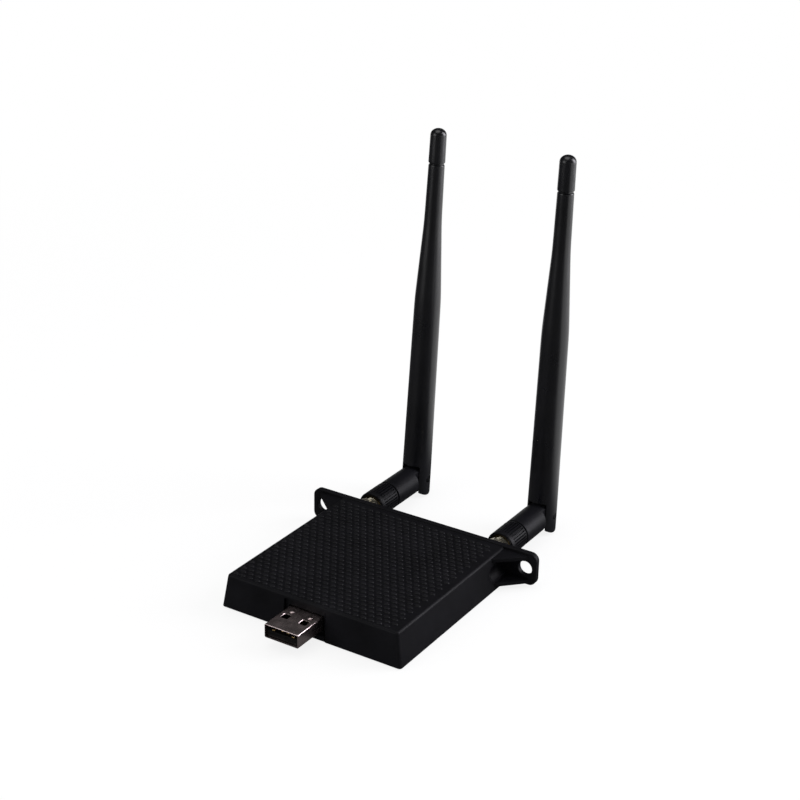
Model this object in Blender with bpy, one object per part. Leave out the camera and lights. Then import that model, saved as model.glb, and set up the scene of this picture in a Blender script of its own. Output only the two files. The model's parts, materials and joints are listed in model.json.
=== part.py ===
"""USB wireless adapter: a flat case with a USB plug in front and two folding antennas behind.

X runs to the right, Y from the plug to the antennas and Z up, in metres. The origin is the middle
of the case's underside. Each antenna hangs from two empties: one on the axis of its jack, about
which the neck swivels and the coupling nut turns, and one on its hinge pin, about which it folds.
"""

import math

import bmesh
import bpy
from mathutils import Matrix, Vector

# Clearances
FIT = 0.0003
SNUG = 0.00015
PAST = 0.001

# Case: outer size at the underside, draft of its walls over the height, and wall thicknesses
CASE_WIDTH = 0.0640
CASE_DEPTH = 0.0646
CASE_HEIGHT = 0.0112
SIDE_DRAFT = 0.00175
FRONT_DRAFT = 0.0008
SIDE_WALL = 0.0016
FRONT_WALL = 0.0030
REAR_WALL = 0.0020
TOP_WALL = 0.0010
CORNER_RADIUS = 0.0010
TOP_EDGE_RADIUS = 0.0008
BASE_THICKNESS = 0.0018

# Mounting ears: the rear plate reaches past the side walls, stiffened by a web above and below
EAR_REACH = 0.0098
EAR_THICKNESS = 0.0019
EAR_RISE = 0.0003
EAR_CLEARANCE = 0.0006
EAR_CORNER = 0.0025
EAR_HOLE_SETBACK = 0.0040
EAR_HOLE_RADIUS = 0.0024
WEB_THICKNESS = 0.0013
WEB_LENGTH = 0.0081
WEB_DROP = 0.0006
WEB_MARGIN = 0.0022
SCOOP_RADIUS = 0.0034
SCOOP_DEPTH = 0.0010
SCOOP_LENGTH = 0.0080

# USB plug
PLUG_WIDTH = 0.0120
PLUG_HEIGHT = 0.0045
PLUG_LENGTH = 0.0188
PLUG_REACH = 0.0112
PLUG_OFFSET = -0.0017
PLUG_CORNER = 0.0005
PLUG_SHEET = 0.0003
PLUG_WINDOW = 0.0024
PLUG_WINDOW_SPACING = 0.0065
PLUG_WINDOW_SETBACK = 0.0069
PLUG_DIMPLE_SETBACK = 0.0100
PLUG_DIMPLE_RADIUS = 0.0007
PLUG_DIMPLE_RISE = 0.00025
TONGUE_THICKNESS = 0.0019
TONGUE_SETBACK = 0.0008
TONGUE_ROOT = 0.0070
CONTACT_WIDTH = 0.0010
CONTACT_THICKNESS = 0.0002
CONTACT_LENGTH = 0.0075
CONTACT_OFFSETS = (-0.0035, -0.0010, 0.0010, 0.0035)
INNER_CONTACT_SETBACK = 0.0010
POCKET_MARGIN = 0.0015
POCKET_DEPTH = 0.0015
POCKET_ROOF = 0.0012
SILL_SETBACK = 0.0002

# Board and what it carries
BOARD_MARGIN = 0.0008
BOARD_REAR_SETBACK = 0.0184
BOARD_THICKNESS = 0.0008
POST_RADIUS = 0.0010
POST_HEIGHT = 0.0014
POST_SIDE_SETBACK = 0.0040
POST_SETBACK = 0.0090
CAN_SIZE = (0.0200, 0.0160, 0.0018)
CAN_OFFSET = 0.0060
CAN_SHEET = 0.00025
CHIP_SIZE = (0.0070, 0.0070, 0.0009)
CRYSTAL_SIZE = (0.0032, 0.0025, 0.0008)
CRYSTAL_GAP = 0.0080
SOCKET_SIDE_SETBACK = 0.0080
SOCKET_SETBACK = 0.0050
SOCKET_BASE_RADIUS = 0.0015
SOCKET_BASE_HEIGHT = 0.0004
SOCKET_RADIUS = 0.0010
LEAD_RADIUS = 0.0006
LEAD_POINTS = 13

# Case screws, driven up through the bottom cover into bosses of the top cover
SCREW_RADIUS = 0.00095
SCREW_HEAD_RADIUS = 0.00175
SCREW_HEAD_HEIGHT = 0.0009
SCREW_LENGTH = 0.0060
SCREW_SINK = 0.0001
SCREW_SIDE_SETBACK = 0.0050
SCREW_FRONT_SETBACK = 0.0056
SCREW_REAR_SETBACK = 0.0176
BOSS_RADIUS = 0.0022

# Coaxial jacks: distances along an axis count outwards from the rear face
JACK_SETBACK = 0.0076
JACK_RADIUS = 0.00315
JACK_REACH = 0.0105
JACK_BORE_RADIUS = 0.0024
JACK_BORE_DEPTH = 0.0055
JACK_FLANGE_RADIUS = 0.0035
JACK_FLANGE_THICKNESS = 0.0020
JACK_TAIL_RADIUS = 0.0019
JACK_TAIL_LENGTH = 0.0042
INSULATOR_THICKNESS = 0.0013
PIN_RADIUS = 0.00045
PIN_LENGTH = 0.0046
WASHER_RADIUS = 0.0046
WASHER_THICKNESS = 0.0005
HEX_ACROSS_FLATS = 0.0080
HEX_THICKNESS = 0.0024
HEX_CHAMFER = 0.0004

# Coupling nut: a ribbed sleeve over a threaded insert, turning on the flange of the antenna's plug
SLEEVE_WALL = 0.0007
SLEEVE_LENGTH = 0.0095
SLEEVE_START = 0.0064
SLEEVE_CHAMFER = 0.0003
SLEEVE_COLLAR = 0.0030
RIB_COUNT = 24
RIB_DEPTH = 0.00035
RIB_RUNOUT = 0.0003
INSERT_WALL = 0.0006
INSERT_LENGTH = 0.0043
NOSE_WALL = 0.0007
NOSE_LENGTH = 0.0035
FLANGE_THICKNESS = 0.0012
BARREL_RADIUS = 0.0029
BARREL_LENGTH = 0.0083
CONTACT_TUBE_RADIUS = 0.0008
CONTACT_TUBE_DEPTH = 0.0046

# Neck and hinge
NECK_RADIUS = 0.0047
NECK_GAP = 0.0004
NECK_CHAMFER = 0.0004
HINGE_REACH = 0.0346
TONGUE_WIDTH = 0.0060
HINGE_PIN_RADIUS = 0.0010
FORK_REACH = 0.0056
FORK_TOP = 0.0005

# Antenna sheath: radii, and the lengths of its stretches one after the other up from the hinge
SHEATH_ROOT_RADIUS = 0.00493
SHEATH_WAIST_RADIUS = 0.0044
SHEATH_SHOULDER_RADIUS = 0.00428
SHEATH_NECK_RADIUS = 0.0029
SHEATH_END_RADIUS = 0.00265
LOWER_LENGTH = 0.0620
SHOULDER_LENGTH = 0.0035
TAPER_LENGTH = 0.0245
UPPER_LENGTH = 0.0189
SHEATH_CHAMFER = 0.0004
SHEATH_BORE_RADIUS = 0.0015
SHEATH_BORE_FLOOR = 0.0090
TIP_RADIUS = 0.00275
TIP_LENGTH = 0.0113
TIP_TAPER = 0.0001
TIP_DOME = 0.0022
TIP_GAP = 0.0004
TIP_GROOVE = 0.0004
SPIGOT_LENGTH = 0.0050
FEED_RADIUS = 0.00065
FEED_LENGTH = 0.0360
CHOKE_LENGTH = 0.0270
WIRE_RADIUS = 0.00035
WIRE_END_GAP = 0.0040

# How far each antenna leans back from upright as it is photographed, in degrees
LEFT_LEAN_DEGREES = 4.0
RIGHT_LEAN_DEGREES = 1.8
LEAN = {"left": LEFT_LEAN_DEGREES, "right": RIGHT_LEAN_DEGREES}
SIDES = {"left": -1, "right": 1}

# Facets round a turned piece, large and small, and along a rounded edge
ROUND = 32
SMALL_ROUND = 16
EDGE_STEPS = 3

# Finishes: colour, roughness and metallic value
BLACK_PLASTIC = ((0.012, 0.012, 0.014), 0.45, 0.0)
ANTENNA_PLASTIC = ((0.010, 0.010, 0.012), 0.38, 0.0)
BLACK_INSULATOR = ((0.010, 0.010, 0.010), 0.5, 0.0)
PLUG_STEEL = ((0.62, 0.60, 0.58), 0.25, 1.0)
PLATED_BRASS = ((0.83, 0.74, 0.50), 0.25, 1.0)
GOLD_CONTACT = ((0.90, 0.70, 0.30), 0.2, 1.0)
SCREW_STEEL = ((0.10, 0.10, 0.11), 0.35, 1.0)
BOARD_GREEN = ((0.02, 0.12, 0.05), 0.5, 0.0)
CAN_STEEL = ((0.70, 0.70, 0.70), 0.3, 1.0)
CHIP_BLACK = ((0.02, 0.02, 0.02), 0.6, 0.0)
COAX_GREY = ((0.15, 0.15, 0.16), 0.5, 0.0)
PALE_INSULATOR = ((0.85, 0.83, 0.78), 0.5, 0.0)

# Places worked out from the sizes
FRONT = -CASE_DEPTH / 2
REAR = CASE_DEPTH / 2
EAR_SPAN = CASE_WIDTH + 2 * EAR_REACH
EAR_TOP = CASE_HEIGHT + EAR_RISE
EAR_HOLE_X = EAR_SPAN / 2 - EAR_HOLE_SETBACK
CAVITY_TOP = CASE_HEIGHT - TOP_WALL
JACK_X = CASE_WIDTH / 2 - JACK_SETBACK
JACK_HEIGHT = (BASE_THICKNESS + CAVITY_TOP) / 2
SCREW_X = CASE_WIDTH / 2 - SCREW_SIDE_SETBACK
BOARD_WIDTH = 2 * (SCREW_X - BOSS_RADIUS - BOARD_MARGIN)
BOARD_BOTTOM = BASE_THICKNESS + SNUG
BOARD_TOP = BOARD_BOTTOM + BOARD_THICKNESS
BOARD_FRONT = FRONT + FRONT_WALL + 2 * FIT
BOARD_REAR = REAR - BOARD_REAR_SETBACK
BOARD_MIDDLE = (BOARD_FRONT + BOARD_REAR) / 2
CAN_PLACE = (CAN_OFFSET, BOARD_MIDDLE)
CRYSTAL_PLACE = (CAN_OFFSET - CAN_SIZE[0] / 2 - CRYSTAL_GAP, BOARD_MIDDLE)
PLUG_MOUTH = FRONT - PLUG_REACH
PLUG_BOTTOM = BOARD_TOP + FIT
PLUG_MIDDLE = PLUG_BOTTOM + PLUG_HEIGHT / 2
SOCKET_HEIGHT = SOCKET_BASE_HEIGHT + SNUG + 2 * LEAD_RADIUS
NOSE_RADIUS = JACK_BORE_RADIUS - SNUG
INSERT_BORE = JACK_RADIUS + SNUG
INSERT_RADIUS = INSERT_BORE + INSERT_WALL
FLANGE_RADIUS = (INSERT_BORE + INSERT_RADIUS) / 2
SLEEVE_RADIUS = INSERT_RADIUS + SNUG + SLEEVE_WALL
HINGE_HOLE_RADIUS = HINGE_PIN_RADIUS + SNUG
NECK_SHOULDER = HINGE_REACH - FORK_REACH - FIT
SHEATH_SHOULDER = LOWER_LENGTH + SHOULDER_LENGTH
SHEATH_NECK = SHEATH_SHOULDER + TAPER_LENGTH
SHEATH_END = SHEATH_NECK + UPPER_LENGTH
TIP_SEAT = SHEATH_END + TIP_GAP


def clear_scene():
    """Removes whatever the file held before."""
    for thing in list(bpy.data.objects):
        bpy.data.objects.remove(thing, do_unlink=True)


def half_width(z):
    """Half the width of the drafted case at height z."""
    return CASE_WIDTH / 2 - SIDE_DRAFT * z / CASE_HEIGHT


def front_face(z):
    """Where the drafted front face of the case stands at height z."""
    return FRONT + FRONT_DRAFT * z / CASE_HEIGHT


def vertices_of(geometry):
    """The vertices in what an operator returns."""
    return [part for part in geometry if isinstance(part, bmesh.types.BMVert)]


def prism(points, path):
    """The flat outline through the points, extruded along the path."""
    shape = bmesh.new()
    shape.faces.new([shape.verts.new(point) for point in points])
    extruded = bmesh.ops.extrude_face_region(shape, geom=shape.faces[:])
    bmesh.ops.translate(shape, verts=vertices_of(extruded["geom"]), vec=path)
    bmesh.ops.recalc_face_normals(shape, faces=shape.faces[:])
    return shape


def block(low, high):
    """A box between two corners."""
    low, high = Vector(low), Vector(high)
    outline = ((low.x, low.y), (high.x, low.y), (high.x, high.y), (low.x, high.y))
    return prism([(x, y, low.z) for x, y in outline], (0, 0, high.z - low.z))


def standing_block(size, place, bottom):
    """A box of the given size on a level, round a place in plan."""
    width, depth, height = size
    x, y = place
    return block((x - width / 2, y - depth / 2, bottom), (x + width / 2, y + depth / 2, bottom + height))


def walled_block(bottom, top, side_inset, front_inset, rear):
    """A block whose walls run parallel to the case's drafted walls, set in from them."""
    x = half_width(bottom) - side_inset
    y = front_face(bottom) + front_inset
    shape = block((-x, y, bottom), (x, rear, top))
    side_shift = half_width(bottom) - half_width(top)
    front_shift = front_face(top) - front_face(bottom)
    middle = (y + rear) / 2
    for vertex in shape.verts:
        if vertex.co.z > (bottom + top) / 2:
            vertex.co.x -= math.copysign(side_shift, vertex.co.x)
            vertex.co.y += front_shift if vertex.co.y < middle else 0.0
    return shape


def round_edges(shape, edges, radius):
    """Rounds the given edges."""
    bmesh.ops.bevel(
        shape, geom=edges, offset=radius, segments=EDGE_STEPS, profile=0.5, affect="EDGES", clamp_overlap=True
    )


def edges_along(shape, axis):
    """The edges that run along an axis more than across it."""
    found = []
    for edge in shape.edges:
        run = edge.verts[1].co - edge.verts[0].co
        if abs(run[axis]) > 0.7 * run.length:
            found.append(edge)
    return found


def top_edges(shape):
    """The edges round the highest level of a shape."""
    top = max(vertex.co.z for vertex in shape.verts)
    level = top - PAST / 100
    return [edge for edge in shape.edges if all(vertex.co.z > level for vertex in edge.verts)]


def turned(profile, axis="Y", steps=ROUND, closed=False):
    """A profile of (radius, distance along the axis) points, turned about the axis through the origin."""
    shape = bmesh.new()
    around = Vector((0, 1, 0)) if axis == "Y" else Vector((0, 0, 1))
    points = [shape.verts.new(Vector((radius, 0, 0)) + around * along) for radius, along in profile]
    ends = list(zip(points, points[1:]))
    if closed:
        ends.append((points[-1], points[0]))
    lines = [shape.edges.new(pair) for pair in ends]
    bmesh.ops.spin(
        shape,
        geom=points + lines,
        cent=(0, 0, 0),
        axis=around,
        angle=2 * math.pi,
        steps=steps,
        use_merge=True,
    )
    bmesh.ops.remove_doubles(shape, verts=shape.verts[:], dist=1e-7)
    bmesh.ops.recalc_face_normals(shape, faces=shape.faces[:])
    return shape


def rod(radius, start, end, axis, steps=ROUND):
    """A plain rod along an axis through the origin, from start to end."""
    if axis != "X":
        return turned([(0, start), (radius, start), (radius, end), (0, end)], axis, steps)
    shape = turned([(0, start), (radius, start), (radius, end), (0, end)], "Z", steps)
    bmesh.ops.rotate(shape, verts=shape.verts[:], cent=(0, 0, 0), matrix=Matrix.Rotation(math.pi / 2, 3, "Y"))
    return shape


def ring(inner, outer, start, end, steps=ROUND):
    """A plain ring about the Y axis."""
    return turned([(inner, start), (outer, start), (outer, end), (inner, end)], "Y", steps, closed=True)


def moved(shape, place):
    """The shape, shifted to a place."""
    bmesh.ops.translate(shape, verts=shape.verts[:], vec=place)
    return shape


def mesh_of(name, shape):
    """A mesh from the shape, shaded smooth except at its sharp edges."""
    mesh = bpy.data.meshes.new(name)
    shape.to_mesh(mesh)
    shape.free()
    mesh.shade_smooth()
    mesh.set_sharp_from_angle(angle=math.radians(35))
    return mesh


def finish(name, colour, roughness, metallic):
    """A plain material with a colour, a roughness and a metallic value."""
    made = bpy.data.materials.new(name)
    made.use_nodes = True
    shader = made.node_tree.nodes["Principled BSDF"]
    shader.inputs["Base Color"].default_value = (*colour, 1.0)
    shader.inputs["Roughness"].default_value = roughness
    shader.inputs["Metallic"].default_value = metallic
    return made


def piece(name, shape, look, parent=None, place=(0, 0, 0)):
    """A named sub-part with its own material, at its place under its parent."""
    made = bpy.data.objects.new(name, mesh_of(name, shape))
    made.data.materials.append(finish(name + "_finish", *look))
    made.parent = parent
    made.location = place
    bpy.context.scene.collection.objects.link(made)
    return made


def combine(target, shape, operation="DIFFERENCE"):
    """Cuts a helper shape out of a piece, or joins or intersects them, in the piece's own frame."""
    helper = bpy.data.objects.new(f"{target.name}_helper", mesh_of(target.name + "_helper", shape))
    helper.parent = target.parent
    helper.location = target.location
    helper.hide_render = True
    helper.display_type = "WIRE"
    bpy.context.scene.collection.objects.link(helper)
    change = target.modifiers.new(operation.title(), "BOOLEAN")
    change.operation = operation
    change.solver = "EXACT"
    change.object = helper


def axis_empty(name, place, parent=None, lean=0.0):
    """An empty on a joint's axis, leaning back from upright."""
    made = bpy.data.objects.new(name, None)
    made.parent = parent
    made.location = place
    made.rotation_euler = (-math.radians(lean), 0, 0)
    bpy.context.scene.collection.objects.link(made)
    return made


def screw_places():
    """Where the case screws stand in plan."""
    rows = (FRONT + SCREW_FRONT_SETBACK, REAR - SCREW_REAR_SETBACK)
    return [(side * SCREW_X, y) for y in rows for side in SIDES.values()]


def post_places():
    """Where the board's locating posts stand in plan."""
    x = BOARD_WIDTH / 2 - POST_SIDE_SETBACK
    return [(side * x, BOARD_FRONT + POST_SETBACK) for side in SIDES.values()]


def rear_plate():
    """The plate that closes the case at the rear and reaches out into the two ears."""
    x, front = EAR_SPAN / 2, REAR - EAR_THICKNESS
    shape = block((-x, front, EAR_CLEARANCE), (x, REAR, EAR_TOP))
    round_edges(shape, edges_along(shape, 1), EAR_CORNER)
    return shape


def ear_web(side, bottom, top):
    """A three-cornered web between a side wall and its ear."""
    root = half_width(top) - SIDE_WALL / 2
    tip = EAR_SPAN / 2 - WEB_MARGIN
    face = REAR - EAR_THICKNESS
    back = REAR - EAR_THICKNESS / 2
    front = face - WEB_LENGTH
    outline = ((root, front), (half_width(bottom), front), (tip, face), (tip, back), (root, back))
    return prism([(side * x, y, bottom) for x, y in outline], (0, 0, top - bottom))


def driver_scoop(side):
    """A round-ended hollow in the side wall, beside the ear's hole, that clears a screwdriver."""
    x = half_width(JACK_HEIGHT) - SCOOP_DEPTH + SCOOP_RADIUS
    end = REAR - EAR_THICKNESS
    start = end - SCOOP_LENGTH
    arc = [math.radians(angle) for angle in range(0, 90, 18)]
    profile = [(SCOOP_RADIUS * math.sin(a), start - SCOOP_RADIUS * math.cos(a)) for a in arc]
    profile += [(SCOOP_RADIUS, start), (SCOOP_RADIUS, end), (0, end)]
    return moved(turned(profile, "Y", SMALL_ROUND), (side * x, 0, JACK_HEIGHT))


def build_top_cover():
    """The moulded upper shell: drafted walls, rear plate with ears, bosses, and the plug's pocket."""
    shell = walled_block(0, CASE_HEIGHT, 0, 0, REAR - EAR_THICKNESS / 4)
    round_edges(shell, edges_along(shell, 2), CORNER_RADIUS)
    round_edges(shell, top_edges(shell), TOP_EDGE_RADIUS)
    cover = piece("top_cover", shell, BLACK_PLASTIC)
    combine(cover, rear_plate(), "UNION")
    web_top = CASE_HEIGHT - WEB_DROP
    web_bottom = EAR_CLEARANCE + WEB_DROP
    for side in SIDES.values():
        combine(cover, ear_web(side, web_top - WEB_THICKNESS, web_top), "UNION")
        combine(cover, ear_web(side, web_bottom, web_bottom + WEB_THICKNESS), "UNION")
        combine(cover, driver_scoop(side))
        hole = rod(EAR_HOLE_RADIUS, REAR - EAR_THICKNESS - PAST, REAR + PAST, "Y")
        combine(cover, moved(hole, (side * EAR_HOLE_X, 0, JACK_HEIGHT)))
        jack_hole = rod(JACK_RADIUS + SNUG, REAR - REAR_WALL - PAST, REAR + PAST, "Y")
        combine(cover, moved(jack_hole, (side * JACK_X, 0, JACK_HEIGHT)))
    combine(cover, walled_block(-PAST, CAVITY_TOP, SIDE_WALL, FRONT_WALL, REAR - REAR_WALL))
    for x, y in screw_places():
        boss = rod(BOSS_RADIUS, BASE_THICKNESS + FIT, CAVITY_TOP + TOP_WALL / 2, "Z", SMALL_ROUND)
        combine(cover, moved(boss, (x, y, 0)), "UNION")
        pilot = rod(SCREW_RADIUS + SNUG, 0, SCREW_SINK + SCREW_LENGTH + FIT, "Z", SMALL_ROUND)
        combine(cover, moved(pilot, (x, y, 0)))
    pocket = PLUG_WIDTH / 2 + POCKET_MARGIN
    pocket_low = (PLUG_OFFSET - pocket, FRONT - PAST, -PAST)
    combine(cover, block(pocket_low, (PLUG_OFFSET + pocket, FRONT + POCKET_DEPTH, CASE_HEIGHT - POCKET_ROOF)))
    slot = PLUG_WIDTH / 2 + FIT
    slot_top = PLUG_BOTTOM + PLUG_HEIGHT + FIT
    slot_high = (PLUG_OFFSET + slot, FRONT + FRONT_WALL + FRONT_DRAFT + PAST, slot_top)
    combine(cover, block((PLUG_OFFSET - slot, FRONT, -PAST), slot_high))


def build_bottom_cover():
    """The lid that drops in between the walls, with a sill under the plug and posts for the board."""
    rear = REAR - REAR_WALL - FIT
    lid = walled_block(0, BASE_THICKNESS, SIDE_WALL + FIT, FRONT_WALL + FIT, rear)
    cover = piece("bottom_cover", lid, BLACK_PLASTIC)
    sill = PLUG_WIDTH / 2
    sill_back = FRONT + FRONT_WALL + PAST
    sill_low = (PLUG_OFFSET - sill, FRONT + POCKET_DEPTH / 2, 0)
    combine(cover, block(sill_low, (PLUG_OFFSET + sill, sill_back, BASE_THICKNESS)), "UNION")
    lip_low = (PLUG_OFFSET - sill, FRONT + POCKET_DEPTH, BASE_THICKNESS / 2)
    lip_high = (PLUG_OFFSET + sill, BOARD_FRONT - FIT, PLUG_BOTTOM - FIT)
    combine(cover, block(lip_low, lip_high), "UNION")
    step = sill + POCKET_MARGIN - FIT
    step_low = (PLUG_OFFSET - step, FRONT + SILL_SETBACK, 0)
    step_high = (PLUG_OFFSET + step, FRONT + POCKET_DEPTH - FIT, BASE_THICKNESS - SNUG)
    combine(cover, block(step_low, step_high), "UNION")
    for x, y in post_places():
        post = rod(POST_RADIUS, BASE_THICKNESS / 2, BOARD_TOP + POST_HEIGHT, "Z", SMALL_ROUND)
        combine(cover, moved(post, (x, y, 0)), "UNION")
    for x, y in screw_places():
        combine(cover, moved(countersink(), (x, y, 0)))


def countersink():
    """The hole in the bottom cover for a case screw and its head."""
    shank = SCREW_RADIUS + SNUG
    head = SCREW_HEAD_RADIUS + SNUG
    seat = SCREW_SINK + SCREW_HEAD_HEIGHT
    top = BASE_THICKNESS + PAST
    return turned([(0, -PAST), (head, -PAST), (head, SCREW_SINK), (shank, seat), (shank, top), (0, top)], "Z")


def build_case_screws():
    """Four countersunk screws through the bottom cover."""
    seat = SCREW_SINK + SCREW_HEAD_HEIGHT
    end = SCREW_SINK + SCREW_LENGTH
    profile = [
        (0, SCREW_SINK),
        (SCREW_HEAD_RADIUS, SCREW_SINK),
        (SCREW_RADIUS, seat),
        (SCREW_RADIUS, end - SCREW_RADIUS),
        (0, end),
    ]
    for number, (x, y) in enumerate(screw_places(), start=1):
        piece(f"case_screw_{number}", turned(profile, "Z", SMALL_ROUND), SCREW_STEEL, place=(x, y, 0))


def plug_tube(inset, start, end):
    """A bar of the plug's section, set in from its outside."""
    x, z = PLUG_WIDTH / 2 - inset, PLUG_HEIGHT / 2 - inset
    shape = block((-x, start, -z), (x, end, z))
    round_edges(shape, edges_along(shape, 1), PLUG_CORNER)
    return shape


def build_usb_plug():
    """The plug's folded steel shell, its plastic tongue and the contacts on it."""
    place = (PLUG_OFFSET, PLUG_MOUTH, PLUG_MIDDLE)
    shell = piece("usb_shell", plug_tube(0, 0, PLUG_LENGTH), PLUG_STEEL, place=place)
    combine(shell, plug_tube(PLUG_SHEET, -PAST, PLUG_LENGTH + PAST))
    half = PLUG_WINDOW / 2
    for side in SIDES.values():
        x = side * PLUG_WINDOW_SPACING / 2
        low = (x - half, PLUG_WINDOW_SETBACK - half, -PLUG_HEIGHT)
        combine(shell, block(low, (x + half, PLUG_WINDOW_SETBACK + half, PLUG_HEIGHT)))
        combine(shell, moved(dimple(), (x, PLUG_DIMPLE_SETBACK, PLUG_HEIGHT / 2)), "UNION")
    floor = PLUG_SHEET + SNUG - PLUG_HEIGHT / 2
    deck = floor + TONGUE_THICKNESS
    roof = PLUG_HEIGHT / 2 - PLUG_SHEET - SNUG
    root = PLUG_LENGTH - TONGUE_ROOT
    outline = (
        (TONGUE_SETBACK, floor),
        (PLUG_LENGTH, floor),
        (PLUG_LENGTH, roof),
        (root, roof),
        (root, deck),
        (TONGUE_SETBACK, deck),
    )
    x = PLUG_WIDTH / 2 - PLUG_SHEET - SNUG
    tongue = prism([(-x, y, z) for y, z in outline], (2 * x, 0, 0))
    round_edges(tongue, edges_along(tongue, 1), PLUG_CORNER / 2)
    piece("usb_tongue", tongue, BLACK_INSULATOR, place=place)
    for number, offset in enumerate(CONTACT_OFFSETS, start=1):
        inner = abs(offset) < max(CONTACT_OFFSETS)
        start = TONGUE_SETBACK + FIT + (INNER_CONTACT_SETBACK if inner else 0.0)
        level = deck + SNUG / 2
        low = (offset - CONTACT_WIDTH / 2, start, level)
        high = (offset + CONTACT_WIDTH / 2, start + CONTACT_LENGTH, level + CONTACT_THICKNESS)
        piece(f"usb_contact_{number}", block(low, high), GOLD_CONTACT, place=place)


def dimple():
    """A small dome pressed outwards from the shell's sheet."""
    sheet = -PLUG_SHEET / 2
    middle = PLUG_DIMPLE_RISE / 2
    rim, brow = PLUG_DIMPLE_RADIUS, PLUG_DIMPLE_RADIUS * 0.7
    return turned([(0, sheet), (rim, sheet), (rim, 0), (brow, middle), (0, PLUG_DIMPLE_RISE)], "Z", SMALL_ROUND)


def build_board():
    """The circuit board with the radio under its can, a crystal and the sockets of the antenna leads."""
    low = (-BOARD_WIDTH / 2, BOARD_FRONT, BOARD_BOTTOM)
    board = piece("main_board", block(low, (BOARD_WIDTH / 2, BOARD_REAR, BOARD_TOP)), BOARD_GREEN)
    for x, y in post_places():
        hole = rod(POST_RADIUS + FIT, BOARD_BOTTOM - PAST, BOARD_TOP + PAST, "Z", SMALL_ROUND)
        combine(board, moved(hole, (x, y, 0)))
    seat = BOARD_TOP + SNUG
    width, depth, height = CAN_SIZE
    can = piece("shield_can", standing_block(CAN_SIZE, CAN_PLACE, seat), CAN_STEEL)
    hollow = (width - 2 * CAN_SHEET, depth - 2 * CAN_SHEET, height - CAN_SHEET + PAST)
    combine(can, standing_block(hollow, CAN_PLACE, seat - PAST))
    piece("radio_chip", standing_block(CHIP_SIZE, CAN_PLACE, seat), CHIP_BLACK)
    piece("clock_crystal", standing_block(CRYSTAL_SIZE, CRYSTAL_PLACE, seat), CAN_STEEL)
    base, top = SOCKET_BASE_HEIGHT, SOCKET_HEIGHT
    profile = [(0, 0), (SOCKET_BASE_RADIUS, 0), (SOCKET_BASE_RADIUS, base), (SOCKET_RADIUS, base)]
    profile += [(SOCKET_RADIUS, top), (0, top)]
    for name in SIDES:
        place = (*socket_place(name), seat)
        piece(f"lead_socket_{name}", turned(profile, "Z", SMALL_ROUND), PLATED_BRASS, place=place)


def socket_place(name):
    """Where an antenna lead's socket stands on the board."""
    return SIDES[name] * (BOARD_WIDTH / 2 - SOCKET_SIDE_SETBACK), BOARD_REAR - SOCKET_SETBACK


def build_lead(name):
    """The thin coaxial lead from a socket on the board to the tail of a jack."""
    x, y = socket_place(name)
    tail = REAR - REAR_WALL - FIT - JACK_FLANGE_THICKNESS - JACK_TAIL_LENGTH
    start = Vector((x, y + SOCKET_RADIUS + SNUG, BOARD_TOP + SNUG + SOCKET_HEIGHT - LEAD_RADIUS))
    end = Vector((SIDES[name] * JACK_X, tail - SNUG, JACK_HEIGHT))
    pull = Vector((0, (end.y - start.y) / 2, 0))
    route = bpy.data.curves.new(f"antenna_lead_{name}", "CURVE")
    route.dimensions = "3D"
    route.bevel_depth = LEAD_RADIUS
    route.bevel_resolution = 2
    route.use_fill_caps = True
    line = route.splines.new("POLY")
    line.points.add(LEAD_POINTS - 1)
    for number, point in enumerate(line.points):
        t = number / (LEAD_POINTS - 1)
        u = 1 - t
        spot = u**3 * start + 3 * u * u * t * (start + pull) + 3 * u * t * t * (end - pull) + t**3 * end
        point.co = (*spot, 1)
    lead = bpy.data.objects.new(f"antenna_lead_{name}", route)
    route.materials.append(finish(f"antenna_lead_{name}_finish", *COAX_GREY))
    bpy.context.scene.collection.objects.link(lead)


def build_jack(name, axis):
    """A coaxial jack in the rear wall, with its insulator and pin, held by a washer and a hexagon nut."""
    shoulder = -REAR_WALL - FIT
    back = shoulder - JACK_FLANGE_THICKNESS
    tail = back - JACK_TAIL_LENGTH
    floor = JACK_REACH - JACK_BORE_DEPTH
    lead_in = JACK_RADIUS - SNUG
    profile = [
        (0, tail),
        (JACK_TAIL_RADIUS, tail),
        (JACK_TAIL_RADIUS, back),
        (JACK_FLANGE_RADIUS, back),
        (JACK_FLANGE_RADIUS, shoulder),
        (JACK_RADIUS, shoulder),
        (JACK_RADIUS, JACK_REACH - FIT),
        (lead_in, JACK_REACH),
        (JACK_BORE_RADIUS, JACK_REACH),
        (JACK_BORE_RADIUS, floor),
        (0, floor),
    ]
    piece(f"antenna_jack_{name}", turned(profile), PLATED_BRASS, axis)
    seat = floor + SNUG
    insulator = ring(PIN_RADIUS + SNUG, JACK_BORE_RADIUS - SNUG, seat, seat + INSULATOR_THICKNESS, SMALL_ROUND)
    piece(f"jack_insulator_{name}", insulator, PALE_INSULATOR, axis)
    end = seat + PIN_LENGTH
    pin = [(0, seat), (PIN_RADIUS, seat), (PIN_RADIUS, end - PIN_RADIUS), (0, end)]
    piece(f"jack_pin_{name}", turned(pin, "Y", SMALL_ROUND), GOLD_CONTACT, axis)
    bore = JACK_RADIUS + SNUG
    washer = ring(bore, WASHER_RADIUS, SNUG, SNUG + WASHER_THICKNESS)
    piece(f"jack_washer_{name}", washer, PLATED_BRASS, axis)
    start = 2 * SNUG + WASHER_THICKNESS
    end = start + HEX_THICKNESS
    corner = HEX_ACROSS_FLATS / 2 / math.cos(math.pi / 6)
    nut = piece(f"jack_nut_{name}", rod(corner, start, end, "Y", 6), PLATED_BRASS, axis)
    brow = corner - HEX_CHAMFER
    crown = [(0, start), (brow, start), (corner, start + HEX_CHAMFER), (corner, end - HEX_CHAMFER)]
    crown += [(brow, end), (0, end)]
    combine(nut, turned(crown), "INTERSECT")
    combine(nut, rod(bore, start - PAST, end + PAST, "Y"))


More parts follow.
